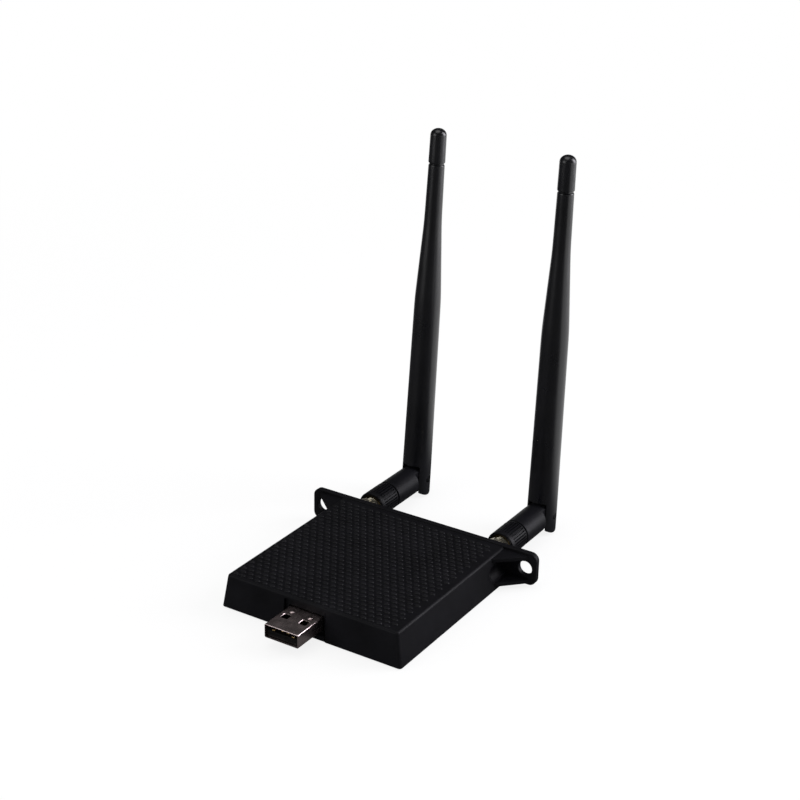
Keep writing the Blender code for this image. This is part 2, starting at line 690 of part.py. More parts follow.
def ribbed_sleeve():
    """The outside of the coupling nut: a plain collar, then straight ribs up to the rear edge."""
    per_rib = 4
    steps = RIB_COUNT * per_rib
    end = SLEEVE_START + SLEEVE_LENGTH
    rib_start = SLEEVE_START + SLEEVE_COLLAR
    rib_end = end - SLEEVE_CHAMFER - RIB_RUNOUT
    edge = SLEEVE_RADIUS - SLEEVE_CHAMFER
    profile = [
        (0, SLEEVE_START),
        (edge, SLEEVE_START),
        (SLEEVE_RADIUS, SLEEVE_START + SLEEVE_CHAMFER),
        (SLEEVE_RADIUS, rib_start),
        (SLEEVE_RADIUS, rib_start + RIB_RUNOUT),
        (SLEEVE_RADIUS, rib_end),
        (SLEEVE_RADIUS, rib_end + RIB_RUNOUT),
        (edge, end),
        (0, end),
    ]
    shape = turned(profile, "Y", steps)
    for vertex in shape.verts:
        along = vertex.co.y
        turn = math.atan2(vertex.co.z, vertex.co.x) % (2 * math.pi)
        step = round(turn / (2 * math.pi) * steps) % per_rib
        if step < per_rib / 2 and rib_start + SNUG < along < rib_end + SNUG:
            valley = 1 - RIB_DEPTH / SLEEVE_RADIUS
            vertex.co.x *= valley
            vertex.co.z *= valley
    return shape


def build_coupling_nut(name, axis):
    """The ribbed nut that screws the antenna onto its jack, with its threaded insert."""
    end = SLEEVE_START + SLEEVE_LENGTH
    flange_end = JACK_REACH + FIT + FLANGE_THICKNESS
    sleeve = piece(f"coupling_nut_{name}", ribbed_sleeve(), ANTENNA_PLASTIC, axis)
    combine(sleeve, rod(INSERT_RADIUS + SNUG, SLEEVE_START - PAST, flange_end + FIT, "Y"))
    combine(sleeve, rod(BARREL_RADIUS + SNUG, flange_end, end + PAST, "Y"))
    insert = ring(INSERT_BORE, INSERT_RADIUS, SLEEVE_START, SLEEVE_START + INSERT_LENGTH - FIT)
    piece(f"nut_insert_{name}", insert, PLATED_BRASS, axis)


def build_antenna_plug(name, axis):
    """The metal plug under the coupling nut, whose nose enters the jack and whose barrel holds the neck."""
    flange = JACK_REACH + FIT
    flange_end = flange + FLANGE_THICKNESS
    nose = JACK_REACH - NOSE_LENGTH
    end = flange_end + BARREL_LENGTH
    nose_bore = NOSE_RADIUS - NOSE_WALL
    core = CONTACT_TUBE_RADIUS + SNUG
    profile = [
        (nose_bore, nose),
        (NOSE_RADIUS, nose),
        (NOSE_RADIUS, flange),
        (FLANGE_RADIUS, flange),
        (FLANGE_RADIUS, flange_end),
        (BARREL_RADIUS, flange_end),
        (BARREL_RADIUS, end),
        (core, end),
        (core, flange),
        (nose_bore, flange),
    ]
    piece(f"antenna_plug_{name}", turned(profile, closed=True), PLATED_BRASS, axis)
    start = nose + FIT
    floor = start + CONTACT_TUBE_DEPTH
    tube_bore = PIN_RADIUS + SNUG
    tube = [
        (tube_bore, start),
        (CONTACT_TUBE_RADIUS, start),
        (CONTACT_TUBE_RADIUS, end - FIT),
        (0, end - FIT),
        (0, floor),
        (tube_bore, floor),
        (tube_bore, start),
    ]
    piece(f"plug_contact_{name}", turned(tube, "Y", SMALL_ROUND), GOLD_CONTACT, axis)


def round_ended(radius, side, middle, far, half):
    """A bar across the hinge, round about the hinge's axis on one side and open-ended on the other.

    The outline lies in the plane of the fold: an arc of the given radius round the point on Y and Z,
    then straight on to the far point, as far out as the side. Half is its reach along X.
    """
    middle, far = Vector(middle), Vector(far)
    run = (far - middle).normalized()
    across = Vector((-run.y, run.x))
    outline = [middle - across * side, far - across * side, far + across * side, middle + across * side]
    for step in range(ROUND // 2 + 1):
        angle = math.pi * step / (ROUND // 2)
        outline.append(middle + radius * (across * math.cos(angle) - run * math.sin(angle)))
    return prism([(-half, y, z) for y, z in outline], (2 * half, 0, 0))


def build_neck(name, axis):
    """The neck behind the nut, whose flat tongue stands in the antenna's fork."""
    start = SLEEVE_START + SLEEVE_LENGTH + NECK_GAP
    end = HINGE_REACH + NECK_RADIUS
    edge = NECK_RADIUS - NECK_CHAMFER
    profile = [
        (0, start),
        (edge, start),
        (NECK_RADIUS, start + NECK_CHAMFER),
        (NECK_RADIUS, NECK_SHOULDER - NECK_CHAMFER),
        (NECK_RADIUS, NECK_SHOULDER),
        (NECK_RADIUS, end + PAST),
        (0, end + PAST),
    ]
    neck = piece(f"neck_{name}", turned(profile), ANTENNA_PLASTIC, axis)
    wide = 2 * NECK_RADIUS
    combine(neck, round_ended(NECK_RADIUS - SNUG, wide, (HINGE_REACH, 0), (-PAST, 0), wide), "INTERSECT")
    for side in SIDES.values():
        low = (min(side * TONGUE_WIDTH / 2, side * wide), NECK_SHOULDER, -wide)
        high = (max(side * TONGUE_WIDTH / 2, side * wide), end + wide, wide)
        combine(neck, block(low, high))
    barrel_end = JACK_REACH + FIT + FLANGE_THICKNESS + BARREL_LENGTH
    combine(neck, rod(BARREL_RADIUS + SNUG, start - PAST, barrel_end + FIT, "Y"))
    combine(neck, moved(rod(HINGE_HOLE_RADIUS, -wide, wide, "X", SMALL_ROUND), (0, HINGE_REACH, 0)))


def build_antenna(name, hinge):
    """The tapered sheath with its fork, the hinge pin, the dipole inside and the cap on the tip."""
    bore = SHEATH_BORE_RADIUS
    profile = [
        (0, -FORK_REACH - PAST),
        (SHEATH_ROOT_RADIUS, -FORK_REACH - PAST),
        (SHEATH_ROOT_RADIUS, 0),
        (SHEATH_WAIST_RADIUS, LOWER_LENGTH),
        (SHEATH_SHOULDER_RADIUS, SHEATH_SHOULDER),
        (SHEATH_NECK_RADIUS, SHEATH_NECK),
        (SHEATH_END_RADIUS, SHEATH_END - SHEATH_CHAMFER),
        (SHEATH_END_RADIUS - SHEATH_CHAMFER, SHEATH_END),
        (bore, SHEATH_END),
        (bore, SHEATH_BORE_FLOOR),
        (0, SHEATH_BORE_FLOOR),
    ]
    sheath = piece(f"sheath_{name}", turned(profile, "Z"), ANTENNA_PLASTIC, hinge)
    wide = 2 * SHEATH_ROOT_RADIUS
    combine(sheath, round_ended(FORK_REACH, wide, (0, 0), (0, SHEATH_END + PAST), wide), "INTERSECT")
    slot = TONGUE_WIDTH / 2 + FIT
    combine(sheath, block((-slot, -wide, -wide), (slot, wide, NECK_RADIUS + FORK_TOP)))
    combine(sheath, rod(HINGE_HOLE_RADIUS, -wide, wide, "X", SMALL_ROUND))
    half_pin = SHEATH_ROOT_RADIUS - FIT
    piece(f"hinge_pin_{name}", rod(HINGE_PIN_RADIUS, -half_pin, half_pin, "X", SMALL_ROUND), SCREW_STEEL, hinge)
    piece(f"dipole_{name}", dipole(), PLATED_BRASS, hinge)
    piece(f"tip_cap_{name}", tip_cap(), ANTENNA_PLASTIC, hinge)


def dipole():
    """The radiating element: a coaxial feed, a choke sleeve and the bare end of the wire."""
    foot = SHEATH_BORE_FLOOR + FIT
    choke = foot + FEED_LENGTH
    wire = choke + CHOKE_LENGTH
    end = TIP_SEAT - SPIGOT_LENGTH - WIRE_END_GAP
    choke_radius = SHEATH_BORE_RADIUS - FIT
    profile = [
        (0, foot),
        (FEED_RADIUS, foot),
        (FEED_RADIUS, choke),
        (choke_radius, choke),
        (choke_radius, wire),
        (WIRE_RADIUS, wire),
        (WIRE_RADIUS, end),
        (0, end),
    ]
    return turned(profile, "Z", SMALL_ROUND)


def tip_cap():
    """The cap that closes the sheath, with a groove under it and a domed end."""
    seat = TIP_SEAT
    end = TIP_SEAT + TIP_LENGTH
    spigot = SHEATH_BORE_RADIUS - SNUG
    crown = TIP_RADIUS - TIP_TAPER
    profile = [
        (0, seat - SPIGOT_LENGTH),
        (spigot, seat - SPIGOT_LENGTH),
        (spigot, seat),
        (TIP_RADIUS - TIP_GROOVE, seat),
        (TIP_RADIUS, seat + TIP_GROOVE),
    ]
    for step in range(EDGE_STEPS + 1):
        angle = math.pi / 2 * step / EDGE_STEPS
        profile.append((crown * math.cos(angle), end - TIP_DOME + TIP_DOME * math.sin(angle)))
    return turned(profile, "Z")


def main():
    """Builds the case, what is in it, and the two antennas on their axes."""
    clear_scene()
    build_top_cover()
    build_bottom_cover()
    build_case_screws()
    build_usb_plug()
    build_board()
    for name, side in SIDES.items():
        swivel = axis_empty(f"swivel_axis_{name}", (side * JACK_X, REAR, JACK_HEIGHT))
        fold = axis_empty(f"fold_axis_{name}", (0, HINGE_REACH, 0), swivel, LEAN[name])
        build_lead(name)
        build_jack(name, swivel)
        build_coupling_nut(name, swivel)
        build_antenna_plug(name, swivel)
        build_neck(name, swivel)
        build_antenna(name, fold)


main()
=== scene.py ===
"""Dressed model of a USB wireless adapter with two folding antennas.

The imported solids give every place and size. The pieces made here stand for them with finer forms
and finishes, and ride on the same bodies. Lengths are in metres: X runs to the right, Y from the
plug to the antennas and Z up, from the middle of the case's underside.
"""

import sys

import json
import logging
import math
from dataclasses import dataclass
from enum import Enum
from functools import cache
from typing import Callable, Iterable, Sequence

import bmesh
import bpy
from bmesh.types import BMEdge, BMesh, BMFace, BMVert
from mathutils import Matrix, Vector

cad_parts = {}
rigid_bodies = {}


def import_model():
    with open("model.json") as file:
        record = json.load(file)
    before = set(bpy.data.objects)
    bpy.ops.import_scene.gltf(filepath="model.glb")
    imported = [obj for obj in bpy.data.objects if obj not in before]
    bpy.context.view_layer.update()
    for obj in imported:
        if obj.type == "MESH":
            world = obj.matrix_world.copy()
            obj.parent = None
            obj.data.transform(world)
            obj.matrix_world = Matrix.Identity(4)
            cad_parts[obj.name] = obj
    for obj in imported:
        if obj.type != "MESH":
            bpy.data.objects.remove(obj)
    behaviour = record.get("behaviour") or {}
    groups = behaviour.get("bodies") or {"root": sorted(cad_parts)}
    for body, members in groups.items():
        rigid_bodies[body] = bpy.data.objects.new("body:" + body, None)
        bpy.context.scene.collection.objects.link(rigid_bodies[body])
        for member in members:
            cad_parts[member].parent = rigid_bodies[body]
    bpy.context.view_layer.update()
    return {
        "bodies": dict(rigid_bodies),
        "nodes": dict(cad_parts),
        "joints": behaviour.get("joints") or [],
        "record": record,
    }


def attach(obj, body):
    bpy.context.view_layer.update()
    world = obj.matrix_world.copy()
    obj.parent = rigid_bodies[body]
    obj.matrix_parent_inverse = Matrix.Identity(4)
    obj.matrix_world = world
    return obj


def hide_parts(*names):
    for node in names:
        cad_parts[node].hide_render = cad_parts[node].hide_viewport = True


log = logging.getLogger("adapter")

# Clearances in metres: between pieces that go together by hand, between pieces that nearly touch,
# and how far a cutter reaches past what it cuts.
LOOSE = 0.0003
SNUG = 0.00015
PAST = 0.001

# Points nearer than this are welded, and points this near to a plane lie in it.
WELD = 1e-7
LEVEL = 2e-6

# The share of a chamfer by which the middle of a softened edge stands in from its corner.
SOFT = 0.3

# The stretches of an effect's tone and of its marks that a finish makes use of.
TONE_SPAN = (0.3, 0.7)
MARK_SPAN = (0.0, 0.8)

Point = Sequence[float]
Profile = Sequence[tuple[float, float]]
Colour = tuple[float, float, float]


class Axis(Enum):
    """The three directions of the frame."""

    X = 0
    Y = 1
    Z = 2

    @property
    def vector(self) -> Vector:
        """The unit vector along the axis."""
        return Vector([float(self.value == number) for number in range(3)])


class Cut(Enum):
    """How one solid acts on another."""

    JOIN = "UNION"
    AWAY = "DIFFERENCE"
    COMMON = "INTERSECT"


class Side(Enum):
    """The two antennas, with the sign of their place along X."""

    LEFT = -1
    RIGHT = 1

    @property
    def word(self) -> str:
        """The side as the names of the nodes spell it."""
        return self.name.lower()


class Body(Enum):
    """The bodies that pieces ride on, with a gap for the side's word where there are two."""

    HOUSING = "housing"
    NUT = "{}_nut"
    NECK = "{}_neck"
    ANTENNA = "{}_antenna"

    def of(self, side: Side | None = None) -> str:
        """The body's name, on a side where it has one."""
        return self.value.format(side.word if side else "")


def bar(low: Point, high: Point) -> BMesh:
    """Makes a box between two corners.

    Args:
        low: the lowest corner.
        high: the highest corner.

    Returns:
        The box.
    """
    low, high = Vector(low), Vector(high)
    shape = bmesh.new()
    bmesh.ops.create_cube(shape, size=1.0)
    bmesh.ops.scale(shape, vec=high - low, verts=shape.verts[:])
    bmesh.ops.translate(shape, vec=(low + high) / 2, verts=shape.verts[:])
    return shape


def slab(outline: Iterable[Point], path: Point) -> BMesh:
    """Extrudes a flat outline.

    Args:
        outline: the corners of the outline, in order.
        path: how far and which way it is extruded.

    Returns:
        The closed slab.
    """
    shape = bmesh.new()
    shape.faces.new([shape.verts.new(point) for point in outline])
    grown = bmesh.ops.extrude_face_region(shape, geom=shape.faces[:])["geom"]
    far = [part for part in grown if isinstance(part, BMVert)]
    bmesh.ops.translate(shape, vec=path, verts=far)
    bmesh.ops.recalc_face_normals(shape, faces=shape.faces[:])
    return shape


def lathe(profile: Profile, axis: Axis = Axis.Y, steps: int = 96, closed: bool = False) -> BMesh:
    """Turns a profile about an axis through the origin.

    Args:
        profile: points as radius and distance along the axis.
        axis: the axis of turning.
        steps: the number of facets round the axis.
        closed: whether the last point joins the first.

    Returns:
        The turned solid.
    """
    shape = bmesh.new()
    out = Axis((axis.value + 1) % 3).vector
    points = [shape.verts.new(out * radius + axis.vector * along) for radius, along in profile]
    pairs = list(zip(points, points[1:]))
    if closed:
        pairs.append((points[-1], points[0]))
    lines = [shape.edges.new(pair) for pair in pairs]
    bmesh.ops.spin(
        shape,
        geom=points + lines,
        cent=(0, 0, 0),
        axis=axis.vector,
        angle=2 * math.pi,
        steps=steps,
        use_merge=True,
    )
    bmesh.ops.remove_doubles(shape, verts=shape.verts[:], dist=WELD)
    bmesh.ops.recalc_face_normals(shape, faces=shape.faces[:])
    return shape


def rod(radius: float, start: float, end: float, axis: Axis, steps: int = 64) -> BMesh:
    """Makes a round bar along an axis, used to join or cut other shapes.

    Args:
        radius: its radius.
        start: where it begins along the axis.
        end: where it ends.
        axis: the axis, through the origin.
        steps: the number of facets round it.

    Returns:
        The bar.
    """
    return lathe([(0, start), (radius, start), (radius, end), (0, end)], axis, steps)


def dome(radius: float, start: float, rise: float, steps: int) -> list[tuple[float, float]]:
    """Gives the profile of a dome, from its rim to its pole.

    Args:
        radius: the radius of its rim.
        start: where the rim stands along the axis.
        rise: how far the pole stands past the rim.
        steps: the number of pieces in the profile.

    Returns:
        The points of the profile.
    """
    turns = [math.pi / 2 * step / steps for step in range(steps + 1)]
    return [(radius * math.cos(turn), start + rise * math.sin(turn)) for turn in turns]


def eased(profile: Profile, reach: float, steps: int = 4, most: float = 0.45) -> list[tuple[float, float]]:
    """Rounds the inner corners of a profile.

    Args:
        profile: the points of the profile.
        reach: how far from a corner its rounding starts, at most.
        steps: the number of pieces in each rounding.
        most: the share of a straight that one rounding may take.

    Returns:
        The points with an arc in place of each corner.
    """
    points = [Vector(point) for point in profile]
    made = [points[0]]
    for before, corner, after in zip(points, points[1:], points[2:]):
        into, away = before - corner, after - corner
        start = corner + into.normalized() * min(reach, into.length * most)
        end = corner + away.normalized() * min(reach, away.length * most)
        for step in range(steps + 1):
            t = step / steps
            made.append(start * (1 - t) ** 2 + corner * 2 * t * (1 - t) + end * t**2)
    made.append(points[-1])
    return [(point.x, point.y) for point in made]


def rounded(shape: BMesh, edges: Iterable[BMEdge], radius: float, segments: int = 4) -> BMesh:
    """Rounds some edges of a shape.

    Args:
        shape: the shape.
        edges: the edges to round.
        radius: how far the rounding reaches from each edge.
        segments: the number of facets across it.

    Returns:
        The same shape.
    """
    bmesh.ops.bevel(
        shape,
        geom=list(edges),
        offset=radius,
        offset_type="OFFSET",
        segments=segments,
        profile=0.5,
        affect="EDGES",
        clamp_overlap=True,
        material=-1,
    )
    return shape


def running(shape: BMesh, axis: Axis, share: float = 0.7) -> list[BMEdge]:
    """Finds the edges that run along an axis more than across it.

    Args:
        shape: the shape.
        axis: the direction.
        share: how much of an edge's length has to run that way.

    Returns:
        The edges.
    """
    found = []
    for edge in shape.edges:
        run = edge.verts[1].co - edge.verts[0].co
        if abs(run[axis.value]) > share * run.length:
            found.append(edge)
    return found


def level_edges(shape: BMesh, axis: Axis, level: float) -> list[BMEdge]:
    """Finds the edges that lie in a plane across an axis.

    Args:
        shape: the shape.
        axis: the axis across which the plane lies.
        level: where the plane stands on it.

    Returns:
        The edges with both ends in the plane.
    """
    return [e for e in shape.edges if all(abs(v.co[axis.value] - level) < LEVEL for v in e.verts)]


def shifted(shape: BMesh, place: Point) -> BMesh:
    """Moves a shape by a vector and returns it."""
    bmesh.ops.translate(shape, vec=place, verts=shape.verts[:])
    return shape


def leaned(shape: BMesh, degrees: float, axis: Axis = Axis.X) -> BMesh:
    """Turns a shape about an axis through the origin.

    Args:
        shape: the shape.
        degrees: how far, by the right hand.
        axis: the axis.

    Returns:
        The same shape.
    """
    turn = Matrix.Rotation(math.radians(degrees), 3, axis.name)
    bmesh.ops.rotate(shape, cent=(0, 0, 0), matrix=turn, verts=shape.verts[:])
    return shape


def gathered(*shapes: BMesh) -> BMesh:
    """Puts several shapes into one, as separate shells.

    Args:
        shapes: the shapes, which are used up.

    Returns:
        The one shape.
    """
    whole = bmesh.new()
    carrier = bpy.data.meshes.new("carrier")
    for shape in shapes:
        shape.to_mesh(carrier)
        whole.from_mesh(carrier)
        shape.free()
    bpy.data.meshes.remove(carrier)
    return whole


def repeated(shape: BMesh, count: int, step: Point) -> BMesh:
    """Repeats a shape at even steps.

    Args:
        shape: the shape, which becomes the whole row.
        count: how many there are in the row.
        step: from one to the next.

    Returns:
        The same shape.
    """
    first = shape.verts[:] + shape.edges[:] + shape.faces[:]
    for number in range(1, count):
        copy = bmesh.ops.duplicate(shape, geom=first)["geom"]
        spot = Vector(step) * number
        bmesh.ops.translate(shape, vec=spot, verts=[part for part in copy if isinstance(part, BMVert)])
    return shape


class Workpiece:
    """A solid that is worked by joining others to it and cutting others away from it."""

    def __init__(self, shape: BMesh) -> None:
        """Starts from a first solid."""
        self.solids = [self._held(shape)]

    @staticmethod
    def _held(shape: BMesh) -> bpy.types.Object:
        """Holds a shape in an object for the time of the work.

        Args:
            shape: the shape, which is used up.

        Returns:
            The object.
        """
        mesh = bpy.data.meshes.new("work")
        shape.to_mesh(mesh)
        shape.free()
        held = bpy.data.objects.new("work", mesh)
        bpy.context.scene.collection.objects.link(held)
        return held

    def apply(self, how: Cut, *shapes: BMesh) -> "Workpiece":
        """Joins or cuts with more solids.

        Args:
            how: what the solids do.
            shapes: the solids, which are used up.

        Returns:
            The workpiece itself.
        """
        for shape in shapes:
            other = self._held(shape)
            step = self.solids[0].modifiers.new(how.name, "BOOLEAN")
            step.operation = how.value
            step.solver = "EXACT"
            step.object = other
            self.solids.append(other)
        return self

    def done(self) -> BMesh:
        """Ends the work and clears its helpers.

        Returns:
            The worked solid.
        """
        graph = bpy.context.evaluated_depsgraph_get()
        mesh = bpy.data.meshes.new_from_object(self.solids[0].evaluated_get(graph))
        shape = bmesh.new()
        shape.from_mesh(mesh)
        for used in [mesh, *[solid.data for solid in self.solids]]:
            bpy.data.meshes.remove(used)
        bmesh.ops.remove_doubles(shape, verts=shape.verts[:], dist=2 * WELD)
        bmesh.ops.dissolve_degenerate(shape, edges=shape.edges[:], dist=2 * WELD)
        return shape


class Graph:
    """Adds nodes to a node tree and links them."""

    def __init__(self, tree: bpy.types.NodeTree) -> None:
        """Keeps the tree that the nodes go into."""
        self.tree = tree

    def add(self, kind: str, settings: dict | None = None, feeds: dict | None = None) -> bpy.types.Node:
        """Adds a node, sets its properties and fills its inputs.

        Args:
            kind: the node's type.
            settings: its properties by name.
            feeds: for each input, by its name or identifier, a value or the output that feeds it.

        Returns:
            The new node.
        """
        node = self.tree.nodes.new(kind)
        for name, value in (settings or {}).items():
            setattr(node, name, value)
        for name, value in (feeds or {}).items():
            socket = next(s for s in node.inputs if name in (s.identifier, s.name))
            if isinstance(value, bpy.types.NodeSocket):
                self.tree.links.new(value, socket)
            else:
                socket.default_value = value
        return node

    def noise(self, vector: object, scale: object, detail: float, rough: float = 0.5) -> bpy.types.NodeSocket:
        """Adds a noise pattern.

        Args:
            vector: the output that gives the place.
            scale: cells in a metre, as a number or an output.
            detail: how many finer layers it has.
            rough: how strong these are.

        Returns:
            Its value, from 0 to 1.
        """
        feeds = {"Vector": vector, "Scale": scale, "Detail": detail, "Roughness": rough}
        return self.add("ShaderNodeTexNoise", {}, feeds).outputs[0]

    def math(self, operation: str, first: object, second: object = 0.0) -> bpy.types.NodeSocket:
        """Works on two values or outputs and gives the result."""
        feeds = {"Value": first, "Value_001": second}
        return self.add("ShaderNodeMath", {"operation": operation}, feeds).outputs[0]

    def along(self, vector: object, way: Sequence[float]) -> bpy.types.NodeSocket:
        """Measures a place or a direction along a level way."""
        feeds = {"Vector": vector, "Vector_001": (*way, 0.0)}
        return self.add("ShaderNodeVectorMath", {"operation": "DOT_PRODUCT"}, feeds).outputs["Value"]

    def between(self, share: object, first: object, second: object) -> bpy.types.NodeSocket:
        """Mixes two shaders by the share of the second."""
        feeds = {"Fac": share, "Shader": first, "Shader_001": second}
        return self.add("ShaderNodeMixShader", {}, feeds).outputs[0]

    def span(self, value: object, low: float, high: float, start: float, end: float) -> bpy.types.NodeSocket:
        """Spreads a stretch of values over another one.

        Args:
            value: the output to spread.
            low: the value that becomes start.
            high: the value that becomes end.
            start: the first new value.
            end: the last new value.

        Returns:
            The spread output, held within start and end.
        """
        feeds = {"Value": value, "From Min": low, "From Max": high, "To Min": start, "To Max": end}
        return self.add("ShaderNodeMapRange", {"clamp": True}, feeds).outputs[0]

    def blend(self, share: object, first: object, second: object) -> bpy.types.NodeSocket:
        """Mixes two colours.

        Args:
            share: how much of the second, as a number or an output.
            first: the first colour.
            second: the second colour.

        Returns:
            The mixed colour.
        """
        feeds = {"Factor_Float": share, "A_Color": first, "B_Color": second}
        node = self.add("ShaderNodeMix", {"data_type": "RGBA"}, feeds)
        return next(s for s in node.outputs if s.identifier == "Result_Color")


class Effect:
    """A shader node group in the making, with named inputs and outputs."""

    def __init__(self, name: str, inputs: dict[str, float | None], outputs: Sequence[str]) -> None:
        """Opens the group.

        Args:
            name: the group's name.
            inputs: its inputs, with the start value of each, or None for a place.
            outputs: its outputs, all plain values.
        """
        self.tree = bpy.data.node_groups.new(name, "ShaderNodeTree")
        for label, start in inputs.items():
            kind = "NodeSocketVector" if start is None else "NodeSocketFloat"
            socket = self.tree.interface.new_socket(label, in_out="INPUT", socket_type=kind)
            if start is not None:
                socket.default_value = start
        for label in outputs:
            self.tree.interface.new_socket(label, in_out="OUTPUT", socket_type="NodeSocketFloat")
        self.graph = Graph(self.tree)
        self.given = self.tree.nodes.new("NodeGroupInput").outputs
        self.result = self.tree.nodes.new("NodeGroupOutput").inputs

    def put(self, label: str, value: bpy.types.NodeSocket) -> None:
        """Leads a value to an output of the group."""
        self.tree.links.new(value, self.result[label])


@cache
def moulded_grain() -> bpy.types.NodeTree:
    """Makes the group for the fine grain of a moulded surface.

    Returns:
        A group with the grain's height and a slow drift of tone.
    """
    effect = Effect("moulded_grain", {"Vector": None, "Density": 6000.0}, ("Height", "Tone"))
    graph, place, density = effect.graph, effect.given["Vector"], effect.given["Density"]
    sparser, fine_share, coarse_share, drift = 0.31, 0.65, 0.35, 90.0
    fine = graph.noise(place, density, detail=2.0, rough=0.6)
    coarse = graph.noise(place, graph.math("MULTIPLY", density, sparser), detail=1.0)
    parts = graph.math("MULTIPLY", fine, fine_share), graph.math("MULTIPLY", coarse, coarse_share)
    effect.put("Height", graph.math("ADD", *parts))
    effect.put("Tone", graph.noise(place, drift, detail=3.0, rough=0.55))
    return effect.tree


@cache
def handling_marks() -> bpy.types.NodeTree:
    """Makes the group for the faint patches that touching leaves.

    Returns:
        A group with a mask of the patches.
    """
    effect = Effect("handling_marks", {"Vector": None, "Density": 120.0}, ("Marks",))
    graph, place = effect.graph, effect.given["Vector"]
    lowest, gain = 0.25, 1.6
    patches = graph.noise(place, effect.given["Density"], detail=4.0, rough=0.6)
    spread = graph.math("SUBTRACT", patches, lowest)
    effect.put("Marks", graph.math("MULTIPLY", spread, gain))
    return effect.tree


@cache
def drawn_lines() -> bpy.types.NodeTree:
    """Makes the group for the lines that rolling, drawing or turning leaves on metal.

    Returns:
        A group with the lines' height and tone, where the place comes in already stretched.
    """
    effect = Effect("drawn_lines", {"Vector": None, "Density": 1.0}, ("Height", "Tone"))
    graph, place = effect.graph, effect.given["Vector"]
    sparser = 0.23
    effect.put("Height", graph.noise(place, effect.given["Density"], detail=3.0, rough=0.7))
    wide = graph.math("MULTIPLY", effect.given["Density"], sparser)
    effect.put("Tone", graph.noise(place, wide, detail=2.0))
    return effect.tree


@cache
def settled_dust() -> bpy.types.NodeTree:
    """Makes the group for the specks that settle on surfaces which face up.

    Returns:
        A group with a mask of the specks.
    """
    effect = Effect("settled_dust", {"Vector": None, "Amount": 0.02}, ("Specks",))
    graph, place = effect.graph, effect.given["Vector"]
    normal = graph.add("ShaderNodeNewGeometry").outputs["Normal"]
    height = graph.add("ShaderNodeSeparateXYZ", {}, {"Vector": normal}).outputs["Z"]
    upward, thick, density = (0.3, 1.0), (0.58, 0.74), 2600.0
    facing = graph.span(height, *upward, 0.0, 1.0)
    specks = graph.span(graph.noise(place, density, detail=3.0, rough=0.7), *thick, 0.0, 1.0)
    settled = graph.math("MULTIPLY", facing, specks)
    effect.put("Specks", graph.math("MULTIPLY", settled, effect.given["Amount"]))
    return effect.tree


@dataclass(frozen=True)
class Plastic:
    """A moulded plastic with a fine grain, a drift of tone, handling marks and a little dust."""

    name: str
    colour: Colour
    roughness: float
    specular: float
    density: float
    relief: float
    dust: float
    patches: float = 140.0
    tones: tuple[float, float] = (0.72, 1.3)
    wear: tuple[float, float] = (0.86, 1.14)
    dust_colour: Colour = (0.20, 0.19, 0.18)
    strength: float = 0.6

    def build(self) -> bpy.types.Material:
        """Makes the material.

        Returns:
            The material.
        """
        made, graph, shader, place = opened(self.name)
        grain = group(graph, moulded_grain(), {"Vector": place, "Density": self.density})
        marks = group(graph, handling_marks(), {"Vector": place, "Density": self.patches})
        dust = group(graph, settled_dust(), {"Vector": place, "Amount": self.dust})
        deep, pale = [(*[part * tone for part in self.colour], 1.0) for tone in self.tones]
        resin = graph.blend(graph.span(grain["Tone"], *TONE_SPAN, 0.0, 1.0), deep, pale)
        colour = graph.blend(dust["Specks"], resin, (*self.dust_colour, 1.0))
        limits = [self.roughness * share for share in self.wear]
        rough = graph.span(marks["Marks"], *MARK_SPAN, *limits)
        coat(graph, shader, (colour, rough, grain["Height"]), self.relief, self.strength)
        shader.inputs["Specular IOR Level"].default_value = self.specular
        return made


@dataclass(frozen=True)
class Metal:
    """A metal with lines left by its making, a second tint in them, and handling marks."""

    name: str
    colour: Colour
    tint: Colour
    roughness: float
    stretch: tuple[float, float, float]
    relief: float
    patches: float = 420.0
    wear: tuple[float, float] = (0.75, 1.3)
    strength: float = 0.5

    def build(self) -> bpy.types.Material:
        """Makes the material.

        Returns:
            The material.
        """
        made, graph, shader, place = opened(self.name)
        drawn = graph.add("ShaderNodeMapping", {}, {"Vector": place, "Scale": self.stretch}).outputs[0]
        lines = group(graph, drawn_lines(), {"Vector": drawn, "Density": 1.0})
        marks = group(graph, handling_marks(), {"Vector": place, "Density": self.patches})
        tone = graph.span(lines["Tone"], *TONE_SPAN, 0.0, 1.0)
        colour = graph.blend(tone, (*self.colour, 1.0), (*self.tint, 1.0))
        limits = [self.roughness * share for share in self.wear]
        rough = graph.span(marks["Marks"], *MARK_SPAN, *limits)
        coat(graph, shader, (colour, rough, lines["Height"]), self.relief, self.strength)
        shader.inputs["Metallic"].default_value = 1.0
        return made


@dataclass(frozen=True)
class Laminate:
    """A circuit board's lacquer over copper tracks."""

    name: str
    lacquer: Colour
    track: Colour
    patches: float = 300.0
    density: float = 5000.0
    meshes: float = 420.0
    track_edge: tuple[float, float] = (0.04, 0.07)
    roughness: tuple[float, float] = (0.32, 0.5)
    grain_share: float = 0.2
    relief: float = 0.00003
    strength: float = 0.6

    def build(self) -> bpy.types.Material:
        """Makes the material.

        Returns:
            The material.
        """
        made, graph, shader, place = opened(self.name)
        marks = group(graph, handling_marks(), {"Vector": place, "Density": self.patches})
        grain = group(graph, moulded_grain(), {"Vector": place, "Density": self.density})
        net = {"Vector": place, "Scale": self.meshes}
        cells = graph.add("ShaderNodeTexVoronoi", {"feature": "DISTANCE_TO_EDGE"}, net)
        tracks = graph.span(cells.outputs["Distance"], *self.track_edge, 1.0, 0.0)
        colour = graph.blend(tracks, (*self.lacquer, 1.0), (*self.track, 1.0))
        rough = graph.span(marks["Marks"], *MARK_SPAN, *self.roughness)
        height = graph.math("ADD", graph.math("MULTIPLY", grain["Height"], self.grain_share), tracks)
        coat(graph, shader, (colour, rough, height), self.relief, self.strength)
        return made


